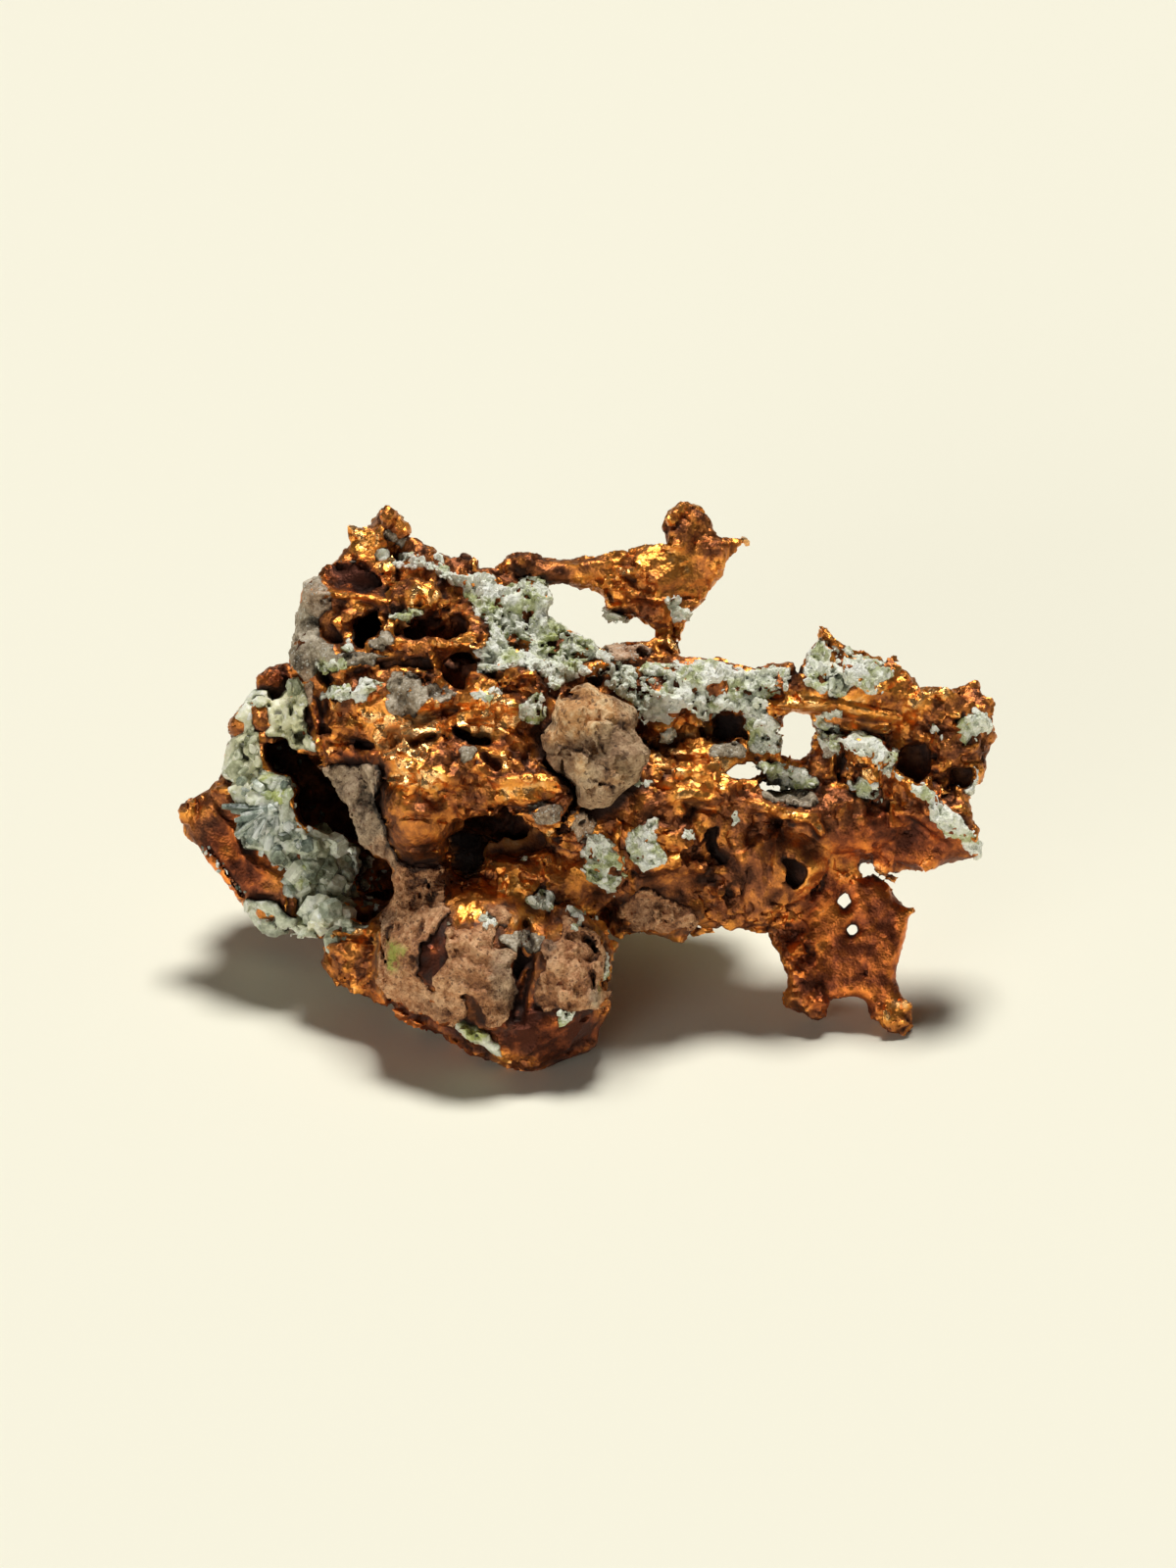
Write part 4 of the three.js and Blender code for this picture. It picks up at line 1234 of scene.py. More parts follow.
    def _stepped(self, q: Array) -> Array:
        """Measure how far ledges raise points: slopes that lean out toward their feet, and end in a step.

        Args:
            q: Points, one a row, already bent.

        Returns:
            Heights in millimetres.
        """
        spacing, height = self.ledges
        t = (q[:, 1] + self.ledge_slant * q[:, 0]) / spacing + 0.8 * Noise.smooth(q, self.ledge_bend, 26)
        share = np.clip(1.5 * Noise.smooth(q, self.ledge_patch, 27) + 0.6, 0, 1)
        return height * (np.floor(t) - t + 0.5) * share

    def on_table(self, values: Array) -> Array:
        """Cut a field flat at the table.

        Args:
            values: The field.

        Returns:
            The field with nothing in it under the table.
        """
        sin, cos = math.sin(VIEW_ELEVATION), math.cos(VIEW_ELEVATION)
        height = self.grid.y * cos + self.grid.z * sin - TABLE_HEIGHT
        behind = self.grid.y * sin - self.grid.z * cos + FRONT_SHIFT[1] - BACK_LIMIT
        return np.maximum(np.maximum(values, self.table_gap - height), behind).astype(np.float32)

    def sampled(self, values: Array, p: Array) -> Array:
        """Read a field at any points.

        Args:
            values: The field.
            p: Points, one a row.

        Returns:
            One value for each point.
        """
        place = np.clip((p - self.grid.low) / self.grid.cell, 0, np.array(self.grid.count) - 1.001)
        base = place.astype(np.int32)
        t = (place - base).astype(np.float32)
        total = np.zeros(len(p), np.float32)
        for di, dj, dk in CORNERS:
            share = np.abs(1 - di - t[:, 0]) * np.abs(1 - dj - t[:, 1]) * np.abs(1 - dk - t[:, 2])
            total += share * values[base[:, 0] + di, base[:, 1] + dj, base[:, 2] + dk]
        return total

    def normals(self, values: Array, p: Array, step: float = 0.5) -> Array:
        """Find the directions out of a field.

        Args:
            values: The field.
            p: Points, one a row.
            step: How far to each side it is read, in millimetres.

        Returns:
            One direction for each point.
        """
        shifts = np.eye(3, dtype=np.float32) * step
        slope = np.stack([self.sampled(values, p + s) - self.sampled(values, p - s) for s in shifts], axis=1)
        return slope / np.maximum(np.linalg.norm(slope, axis=1, keepdims=True), 1e-5)

    def shelter(self, p: Array, out: Array) -> dict[str, Array]:
        """Find how deep in a hollow, and how far out on a crest, surface points lie.

        Args:
            p: Points, one a row.
            out: The directions out of the surface there.

        Returns:
            The values "hollow", "crest" and "dark", one for each point. The materials paint shade where
            "hollow" is high, and "dark" is the wells' painted shade.
        """
        steps = ((0.8, 0.4), (1.8, 0.3), (3.6, 0.3))
        # How closed in each point is; the materials paint shade in proportion to it.
        hollow = sum(w * np.clip(1 - self.sampled(self.outer, p + out * d) / d, 0, 1) for d, w in steps)
        crest = np.clip(1 + self.sampled(self.values, p - out * 1.1) / 1.1, 0, 1)
        # Painted shade inside the wells, for points below their rims.
        deep = eased((self.canvas.at(self.rims, p) - p[:, 2] - 0.4) / 1.6)
        return {"hollow": hollow, "crest": crest, "dark": self.canvas.at(self.dark, p) * deep}

    def piece(self, number: int) -> Array:
        """Find the field of one of the pieces, which reaches just past its seam into its neighbours.

        Args:
            number: Which piece it is.

        Returns:
            The piece's field.
        """
        own = self.parts[number].values
        others = np.min([part.values for n, part in enumerate(self.parts) if n != number], axis=0)
        seam = (own - others) / 2
        return np.maximum(self.values + 0.5 * np.maximum(seam, 0), seam - 0.3)


MOSS = (
    (-14.2, 22.6, 0.8, 0.7), (-11.4, 21.6, 1.1, 0.8), (-9.2, 15.8, 1.0, 0.8), (-4.3, 17.6, 1.2, 1.9, 20),
    (6.8, 15.1, 0.9, 0.6), (-6.6, 6.8, 1.2, 1.2), (-6.4, 8.2, 1.2, 1.0), (-38.4, -1.6, 1.8, 1.5),
    (-35.2, -11.3, 0.9, 1.5), (-39.2, 1.6, 1.0, 0.7), (-23.2, -20.8, 1.2, 1.5), (2.4, -23.2, 0.5, 1.8),
    (-31, 13.9, 1.4, 0.8), (-26.6, 5.6, 1.6, 1.4), (-22.2, 21.0, 1.4, 0.6), (-13.6, -29.6, 1.8, 0.8, -45),
    (-17.4, 24.0, 0.7, 0.6), (-2.4, 14.6, 0.9, 0.6), (12.6, 13.0, 0.8, 0.6), (26.4, 11.6, 0.7, 0.6),
    (-25.8, 11.9, 0.9, 0.5), (0.6, 17.0, 0.8, 0.5),
)


def moss_on(canvas: Canvas, ragged: float) -> Array:
    """A map of the yellow-green spots: 1 inside them, 0 elsewhere."""
    return canvas.painted([(shape, 1.0) for shape in MOSS], ragged, 0.8)


@dataclass(frozen=True)
class Coat:
    """A mineral that coats the copper in patches, as one closed shell.

    Its shapes are ovals and outlines drawn on the front, and noise places it on the sides and the back.
    """

    name: str
    mineral: Mineral
    shapes: tuple
    thickness: float
    openings: tuple = ()
    hues: tuple = ()
    hue: float = 0.0
    grains: tuple[Grain, ...] = ()
    rim: float = 0.5
    ragged: float = 1.0
    lump_spacing: float = 1.6
    lump_height: float = 0.3
    crease_spacing: float = 1.4
    crease_height: float = 0.2
    gaps: float = 0.0
    behind: float = -9.0
    seed: int = 50
    depth: float = 0.9
    fine: float = 0.14
    grow: float = 0.0
    mossy: float = 0.0

    def cover(self, body: CopperBody, p: Array) -> Array:
        """Find how deep points lie inside the coat's shapes.

        Args:
            body: The copper under the coat.
            p: Points, one a row.

        Returns:
            One depth for each point in millimetres, negative outside the shapes.
        """
        canvas = body.canvas
        drawn = canvas.patches(self.shapes, self.ragged) + self.grow
        for opening in self.openings:
            drawn = np.minimum(drawn, canvas.edge(opening, OUTLINE_WANDER * self.ragged))
        front = canvas.at(np.minimum(drawn, body.clear - 0.15), p)
        front = front - self.gaps * np.maximum(Noise.smooth(p, 2.3, self.seed + 3), 0) * 3
        behind = (Noise.layered(p, 13.0, self.seed + 4, 3) + self.behind) * 4
        facing = body.facing(p)
        return np.minimum(front * facing + behind * (1 - facing), front + (1 - facing) * 20)

    def field(self, body: CopperBody) -> Array:
        """Draw the shell on the copper's grid.

        Args:
            body: The copper under the coat.

        Returns:
            Its field, negative inside the shell.
        """
        chosen = body.near(body.values, self.depth + self.thickness + 1.4)
        p = body.grid.points(chosen)
        depth = self.cover(body, p)
        covered = depth > -2 * self.rim
        chosen, p, depth = chosen[covered], p[covered], depth[covered]
        share = eased(depth / self.rim + 0.5)
        near, _, facet = Noise.cells(p, self.lump_spacing, self.seed)
        lumps = 1.1 - 1.8 * near + facet + 0.6 * Noise.smooth(p, self.lump_spacing * 2.4, self.seed + 1)
        lumps = self.lump_height * lumps
        lumps += self.crease_height * (Noise.ridged(p, self.crease_spacing, self.seed + 2) - 0.5)
        lumps += sum(grain.relief(body.canvas, p) for grain in self.grains)
        top = share * (self.thickness + lumps + self.depth) - self.depth - 0.25
        under = body.values.flat[chosen]
        shell = np.full(body.grid.count, FAR, np.float32)
        shell.flat[chosen] = np.maximum(under - top, -self.depth - under)
        return shell

    def values(self, body: CopperBody, p: Array, out: Array) -> dict[str, Array]:
        """Find the named values of the shell's corners.

        Args:
            body: The copper under the coat.
            p: The corners, one a row.
            out: The directions out of the surface there.

        Returns:
            Its shelter, which the material paints shade with, its hue, its share of moss and its middle
            shade.
        """
        canvas = body.canvas
        hue = self.hue + canvas.at(canvas.painted(self.hues, 1.0, 1.6), p)
        moss = canvas.at(moss_on(canvas, 1.2), p) * body.facing(p)
        moss = np.maximum(moss, self.mossy * np.clip(Noise.smooth(p, 2.6, self.seed + 30) * 4 - 0.4, 0, 1))
        shade = np.full(len(p), 0.5, np.float32)
        return {**body.shelter(p, out), "hue": np.clip(hue, 0, 1), "moss": moss, "shade": shade}


@dataclass(frozen=True)
class Coats:
    """The coats of the specimen, laid over the copper, and the outlines of their larger patches."""

    green_sweep: Outline = (
        (-18.6, 28.6), (-16.2, 25.6), (-13.6, 26), (-11.7, 25.8), (-11.1, 24.3), (-8.9, 24.7), (-7, 25.6),
        (-5.5, 25.2), (-4.8, 23.9), (-4.4, 23), (-5.3, 21.7), (-5, 20.4), (-3.3, 19.4), (-1.4, 18.5),
        (0.1, 17.7), (1.4, 16.1), (3.3, 15.5), (5.7, 14.2), (8.4, 15.3), (11.7, 14.9), (15.5, 15.2),
        (20, 13.6), (22.2, 14.4), (24.6, 14.2), (24.4, 11.4), (22, 10.6), (21.6, 8.6), (23.6, 7.2),
        (23.6, 4.2), (20.4, 3.6), (19.2, 5.4), (19.4, 8.6), (16.6, 9.2), (14.6, 7.8), (11.7, 9.5),
        (10, 7.4), (6.8, 7.6), (6.2, 9.2), (3.8, 10.8), (0.1, 13.1), (-2.8, 12.6), (-4.4, 10.6),
        (-5.5, 12.5), (-6.3, 13.8), (-8.1, 14.4), (-10, 14), (-13.2, 13.4), (-13.6, 14.4), (-12.8, 15.1),
        (-14.5, 16.1), (-12.1, 16.8), (-11.9, 18.5), (-12.6, 19.8), (-13.8, 20.9), (-14.9, 22.6),
        (-15.1, 24.1), (-17.6, 25.4), (-20.6, 26.6),
    )
    green_spot: Outline = (
        (-0.7, -8.5), (0, -6.3), (1.9, -6.1), (3, -7.1), (4.2, -9.1), (4.8, -10.9), (3, -13.5),
        (1.7, -13.3), (0.3, -11.9), (-0.8, -10.3),
    )
    green_peak: Outline = (
        (26.3, 12.6), (26.8, 15.6), (28.2, 17.6), (30.4, 17), (33, 15.8), (36, 15), (37.2, 13.4),
        (36.4, 11.4), (34.4, 10.8), (32.6, 12), (30.6, 10.8), (28.4, 11.2),
    )
    tan_wall: Outline = (
        (-33.2, 2.0), (-31, 0.6), (-30.4, -1.5), (-30, -3.6), (-28.4, -6), (-27.2, -7.2), (-25.2, -9),
        (-23.2, -10), (-23.3, -11.3), (-24, -13.7), (-25, -14.8), (-24.8, -17.8), (-25.1, -21.4),
        (-25, -24.4), (-24.1, -25.7), (-22.2, -26.9), (-19.5, -27.8), (-16.5, -29.8), (-15.1, -27.8),
        (-15.1, -26), (-19.3, -25.4), (-19.8, -24.1), (-21.1, -23), (-20.6, -21.6), (-20.5, -20.3),
        (-20.9, -19), (-19, -18.4), (-18.4, -17.3), (-17.9, -16.2), (-17.8, -14), (-18, -12.4),
        (-17.6, -10.2), (-21, -10.6), (-22.9, -9.6), (-23.9, -8.1), (-24.6, -5.9), (-25.4, -4.5),
        (-26.2, -2.3), (-25.4, 0.5), (-25.8, 1.8), (-28.4, 2.0),
    )
    tan_plate: Outline = (
        (-16.8, -17.7), (-15.6, -17.9), (-13.9, -18), (-12.8, -17), (-11.7, -17.2), (-11.4, -18.2),
        (-11.5, -19.3), (-11.3, -20), (-9.4, -20.3), (-8.5, -20.8), (-8.6, -22.5), (-9.2, -23.8),
        (-8.8, -25), (-9.5, -25.9), (-9.4, -26.8), (-10, -27.8), (-10.1, -28.9), (-11.1, -29.2),
        (-11.9, -28.9), (-12.2, -27.6), (-12.8, -26.5), (-13.4, -25.5), (-14.5, -24.9), (-15.6, -25.2),
        (-18.0, -24.8), (-18.4, -23.3), (-17.2, -22.3), (-16.6, -21), (-17.1, -19.9), (-16.7, -18.8),
    )
    tan_side: Outline = (
        (-3, -16), (-1.9, -16.9), (0, -17.8), (1.1, -18.4), (1.5, -19.5), (2, -21), (1.5, -22.5),
        (1.3, -23.8), (0, -24.4), (0, -25.7), (0.3, -26.5), (-1.5, -27.4), (-2.3, -27.2), (-3.6, -26.5),
        (-5.3, -27.2), (-6.2, -25.9), (-6.2, -24.6), (-5.3, -23.3), (-4.5, -22), (-5.1, -21.2),
        (-5.5, -19.3), (-3.4, -19.5), (-2.7, -18.2),
    )
    grey_rind: Outline = (
        (-35.1, 23), (-36.2, 21.1), (-36.4, 19.5), (-36.8, 17.8), (-37.2, 16), (-36.4, 14.1), (-35, 12.7),
        (-34.6, 9.4), (-33.9, 9.4), (-33.1, 13.7), (-30.8, 15.6), (-31, 17.2), (-32.8, 18.7), (-32.9, 20.3),
        (-31.2, 21.5), (-31.6, 23.6), (-33.4, 26.2), (-35.4, 25),
    )
    cup_side: Outline = (
        (-36.2, 13.3), (-34.8, 12.4), (-34.2, 10), (-34.5, 8), (-33.6, 5), (-33.2, 3.9), (-35, 3.8),
        (-37, 4.3), (-36.8, 5.2), (-38, 5.9), (-39.4, 5.8), (-40.0, 6.4), (-39.5, 7.5), (-39.6, 9.5),
        (-38.4, 10.8), (-37, 12),
    )
    cup_edge: Outline = (
        (-43.2, 9.3), (-41.4, 11.8), (-39.6, 11.6), (-38.9, 10.4), (-39.7, 9.4), (-41, 9), (-41.3, 7.8),
        (-40.7, 6), (-40.2, 4.6), (-40.2, 3.2), (-39.9, 1.8), (-41.5, 1), (-43.4, 0.2), (-44.6, 0.6),
        (-45.4, 0.8), (-44.9, 3), (-44.6, 5), (-43.8, 5.8), (-42.5, 6.4), (-42.4, 7.5), (-43.8, 8),
    )
    cup_floor: Outline = (
        (-44.3, -0.7), (-43, 0.4), (-40, 1.8), (-37.5, 1.3), (-36.4, 0.6), (-36.4, -2.1), (-35.8, -4),
        (-34.8, -5.6), (-33, -6.2), (-30.6, -7.2), (-28.2, -7.6), (-27.8, -9.2), (-28.4, -11), (-29, -13),
        (-30.4, -14.5), (-30.4, -16.4), (-31, -17.6), (-32.6, -18.2), (-34.8, -17.3), (-36, -15.2),
        (-35.9, -13), (-37, -10.6), (-39, -9.7), (-40, -8.3), (-42.2, -8), (-43.7, -6), (-42.6, -3.3),
        (-43.6, -2),
    )
    cup_foot: Outline = (
        (-42.3, -14.2), (-40, -14), (-38.3, -14.3), (-37.4, -15.6), (-36.6, -16.4), (-35.5, -16.2),
        (-33.5, -17.4), (-33, -19), (-37, -19.4), (-40.6, -18.9), (-42.4, -16.4),
    )
    green: Coat = Coat(
        "green_crust",
        Mineral.GREEN_CRUST,
        (
            green_sweep, green_spot, green_peak,
            (-29.8, 10.9, 2.7, 1.0), (-26.6, 12.2, 1.3, 0.8, 10), (-12.4, 10.8, 1.8, 0.7),
            (-6.6, 9.0, 1.6, 1.6), (7, -7.6, 2.4, 3.2, 30), (-10.6, -9.4, 0.6, 0.5), (-7.6, -8.7, 0.6, 0.4),
            (-5.7, -14.4, 1.6, 0.9), (-12.2, -16.8, 1.1, 1.3), (33.6, 4.6, 2.6, 1.4, -30),
            (38.6, 1.4, 3.4, 1.5, -40), (41.6, -1.6, 2.6, 1.5, -58), (43.6, -4.2, 3.0, 1.5, -42),
            (46.6, -6.8, 1.9, 1.2, -60), (34, -0.8, 2.6, 1.0, -48), (47.4, 7.2, 2.2, 1.7, 30),
            (46.8, 0.2, 1.2, 1.4), (24.6, 0.9, 4.0, 1.2, -14), (29.4, 5.6, 1.5, 2.0),
            (11.0, 21.6, 1.0, 2.0, 20), (3.4, 20.6, 1.6, 0.8), (-29, 17.6, 1.0, 1.3), (-31, 14.8, 1.6, 0.8),
            (-21.8, 27.4, 1.8, 1.2, -30), (-22.4, 20.8, 1.5, 0.6), (-17.2, -20.8, 0.4, 0.7),
            (2.2, -22, 0.5, 1.4), (-1.6, -15.9, 1.0, 0.6, -30), (-2.7, -28.2, 1.0, 1.1),
            (29.6, 8.2, 1.2, 0.7), (42.4, 6, 1.0, 0.9), (6.4, 0.0, 0.8, 0.6), (9.6, 5.8, 0.8, 0.5, 20),
            (12.4, -6.2, 1.0, 0.6), (17.8, -3.8, 0.7, 0.6),
        ),
        openings=(
            ((-9.6, 17.9), (-8.9, 18.2), (-7.2, 17.4), (-7.2, 16.1), (-8.6, 16.0)),
            ((-0.8, 14.8), (0.9, 15.4), (2.2, 14.3), (1.2, 13.6)),
            ((14.2, 12.2), (16.8, 12.6), (17.2, 11.2), (14.8, 11)),
            ((6.8, 12.6), (8.6, 13), (9.2, 11.8), (7.4, 11.4)),
        ),
        thickness=0.55, rim=0.35, lump_spacing=1.3, lump_height=0.7, crease_spacing=1.5, crease_height=0.9,
        gaps=0.15, grow=0.2, mossy=0.8, behind=-0.42, seed=60, fine=0.24,
    )
    tan: Coat = Coat(
        "tan_matrix",
        Mineral.ROCK,
        (
            tan_wall, tan_plate, tan_side,
            (8.2, -15.8, 4.0, 2.2, -8), (-10.8, -15.8, 0.9, 0.8), (1.2, -25.6, 1.3, 1.1),
            (-18.2, -15.6, 0.9, 1.0),
        ),
        hues=(
            ((-28.6, -2, 5.5, 6.5), -0.8), ((-25.4, -8.2, 3.4, 3.4), -0.5),
            ((-9.8, -23.4, 2.0, 4.4), -0.55), ((-4.8, -20.2, 1.0, 1.6), -0.6),
            ((-24.4, -17, 1.2, 1.6), -0.5), ((7, -16, 2, 1.6), -0.25), ((-19, -26.6, 3, 1.4, -30), -0.2),
            ((1.2, -25.6, 1.2, 1.2), -0.8),
        ),
        grains=(
            Grain(((-27.6, -3, 5, 8, 20), (-22, -17, 4.6, 9)), 76, 1.3, 0.4, 221),
            Grain(((-12.6, -21, 5.4, 5.4),), 8, 1.4, 0.35, 222),
        ),
        hue=0.9, thickness=0.85, rim=0.22, ragged=0.9, lump_spacing=2.4, lump_height=0.4, crease_height=0.3,
        behind=-0.62, seed=80, fine=0.2, grow=0.4,
    )
    grey: Coat = Coat(
        "grey_matrix",
        Mineral.ROCK,
        (
            grey_rind,
            (-22.4, 11.0, 2.7, 2.7), (-18.4, 11.2, 2.2, 1.3), (-25.2, 17.7, 1.7, 1.3),
            (-28.4, 15.3, 4.0, 1.2), (-14.6, 3.8, 1.3, 1.5, 20), (-5.1, -3.3, 2.2, 1.6),
            (17.0, 4.0, 2.4, 1.3), (24.6, -1.4, 3.6, 1.2, -8), (-30.0, 26.8, 1.6, 0.9, 20),
            (-23.6, 30.4, 1.6, 0.9, -20), (-8, -19.0, 2.7, 1.5, -8), (4.6, 16.3, 3.4, 1.2),
            (-0.8, -5.2, 1.9, 2.2), (29.5, 5.2, 1.4, 2.2), (-17.0, -16.8, 1.0, 0.8), (-8.2, 16.8, 0.9, 0.8),
            (3.3, 20.8, 1.5, 0.7),
        ),
        hues=(
            ((-32.6, 22.4, 2.4, 2.4), 0.35), ((4.6, 16.3, 3.4, 1.4), 0.9), ((-0.8, -5.2, 2, 2.4), 0.6),
            ((-8.2, 16.8, 1, 1), 0.9), ((-5.1, -3.3, 2.2, 1.6), 0.3), ((-34.6, 12, 1.2, 3), 0.5),
        ),
        hue=0.12, thickness=0.55, rim=0.4, ragged=0.7, lump_spacing=3.0, lump_height=0.35, behind=-0.66,
        seed=100,
    )
    prehnite: Coat = Coat(
        "prehnite_base",
        Mineral.PREHNITE,
        (
            cup_side, cup_edge, cup_floor, cup_foot,
            (-13.2, -30.8, 3.6, 1.4, -40), (-25.4, 28.2, 0.9, 0.8), (-12.4, 15.6, 2.0, 0.7, 10),
            (-12.0, 14.0, 1.8, 0.8), (30.4, 12.4, 1.1, 1.1), (46.6, -0.4, 1.3, 1.3),
            (-29.3, -17.2, 2.4, 0.6, -5), (3.3, 20.8, 1.4, 0.6),
        ),
        hues=(
            ((-37, 8.6, 3.6, 6), 0.85), ((-42, 4, 3, 6), 0.7), ((-33, -14, 3.4, 4), 0.6),
            ((-34, -16.5, 2, 1.5), 0.5), ((-13.4, -29.9, 2.4, 1, -40), 0.8), ((-31.5, -8, 2.6, 1.8), 0.5),
            ((-35.2, 7.2, 1.2, 1.4), -0.6),
        ),
        hue=0.1, thickness=0.9, rim=0.9, ragged=0.6, lump_spacing=3.4, lump_height=0.9, crease_spacing=2.0,
        crease_height=0.5, behind=-0.95, seed=120, fine=0.1,
    )

    def all(self) -> tuple[Coat, ...]:
        """The coats, from the lowest to the highest."""
        return self.grey, self.tan, self.prehnite, self.green


@dataclass
class Crystals:
    """Faceted crystals scattered over surfaces, joined in one mesh."""

    seed: int
    sides: int = 6
    rings: tuple = ((0.62, 0.0), (1.0, 0.15), (0.97, 0.78))

    def __post_init__(self) -> None:
        """Start a mesh with nothing in it."""
        self.random = np.random.default_rng(self.seed)
        self.corners: list[Array] = []
        self.faces: list[Array] = []
        self.values: dict[str, list[Array]] = {"shade": [], "hue": [], "moss": [], "hollow": []}
        self.total = 0

    def template(self, taper: float) -> tuple[Array, Array]:
        """Shape a stubby crystal of unit height on its base: a prism with a bevelled foot and head.

        Args:
            taper: Width of its flat head as a share of its own width.

        Returns:
            Its corners and its three-sided faces.
        """
        n = self.sides
        angle = np.arange(n) * (2 * math.pi / n)
        angle = angle + 0.22 * np.sin(angle * 2)
        rings = [*self.rings, (taper, 1.0)]
        corners = [(r * math.cos(a), r * math.sin(a), h) for r, h in rings for a in angle]
        faces = []
        for ring in range(len(rings) - 1):
            for i in range(n):
                a, b = ring * n + i, ring * n + (i + 1) % n
                faces += [(a, b, b + n), (a, b + n, a + n)]
        top = (len(rings) - 1) * n
        for i in range(1, n - 1):
            faces += [(0, i + 1, i), (top, top + i, top + i + 1)]
        return np.array(corners), np.array(faces)

    def add(self, places: Array, ways: Array, sizes: Array, aspect: float, lean: float, taper: float = 0.6,
            values: dict[str, Array] | None = None) -> None:
        """Stand crystals at places.

        Args:
            places: Where their bases are, one a row.
            ways: Which way they point, one a row.
            sizes: Their widths, one for each.
            aspect: Their height as a share of their width.
            lean: How far they lean from their way, at most about this many degrees.
            taper: Width of the flat head as a share of the crystal's width.
            values: Named values, one for each crystal.
        """
        corners, faces = self.template(taper)
        for number, (place, way, size) in enumerate(zip(places, ways, sizes)):
            tilt = Euler(self.random.normal(0, math.radians(lean) / 2, 3)).to_matrix()
            spin = Matrix.Rotation(self.random.uniform(0, 2 * math.pi), 3, "Z")
            turn = np.array(tilt @ Vector(way).to_track_quat("Z", "Y").to_matrix() @ spin)
            stretch = [1, self.random.uniform(0.5, 1.0), 2 * aspect * self.random.uniform(0.7, 1.25)]
            self.corners.append((corners * np.array(stretch) * size / 2) @ turn.T + place)
            self.faces.append(faces + self.total)
            own = {"shade": self.random.uniform(), **{k: v[number] for k, v in (values or {}).items()}}
            for key, kept in self.values.items():
                kept.append(np.full(len(corners), own.get(key, 0.0), np.float32))
            self.total += len(corners)

    def made(self, name: str) -> bpy.types.Object:
        """Join all the crystals so far in one object.

        Args:
            name: The object's name.

        Returns:
            The object, with flat faces and a shade for each crystal.
        """
        corners = np.concatenate(self.corners).astype(np.float32)
        values = {key: np.concatenate(kept) for key, kept in self.values.items()}
        obj = new_object(name, corners, np.concatenate(self.faces), values)
        obj.data.shade_flat()
        return obj


@dataclass
class Scatter:
    """Random places on the front of a field, inside shapes."""

    body: CopperBody
    ground: Array
    seed: int

    def __post_init__(self) -> None:
        """Find the front of the ground, and start the random draws."""
        self.front = self.body.depth_of(self.ground)
        self.random = np.random.default_rng(self.seed)

    def over(self, shapes: Sequence[tuple], number: int, ragged: float = 0.6, clear: float = 0.3) -> tuple:
        """Draw places inside shapes.

        Args:
            shapes: Ovals or outlines on the front.
            number: How many places to draw.
            ragged: How much the shapes' borders wander.
            clear: How far they stay away from the wells, in millimetres.

        Returns:
            Places on the surface and the ways out of it there, one a row.
        """
        canvas, grid = self.body.canvas, self.body.grid
        depth = np.minimum(canvas.patches(shapes, ragged), self.body.clear - clear)
        columns = np.flatnonzero(((depth > 0) & (self.front > grid.low[2] + 1)).ravel())
        chosen = self.random.choice(columns, min(number, len(columns)), replace=False)
        i, j = np.unravel_index(chosen, canvas.x.shape)
        columns = [canvas.x[i, j], canvas.y[i, j], self.front[i, j] + grid.cell / 2]
        p = np.stack(columns, axis=1).astype(np.float32)
        p[:, :2] += self.random.uniform(-0.5, 0.5, (len(p), 2)) * grid.cell
        return p, self.body.normals(self.ground, p)


class Socket(Enum):
    """The kinds of socket that the node groups have."""

    NUMBER = "NodeSocketFloat"
    COLOUR = "NodeSocketColor"
    VECTOR = "NodeSocketVector"


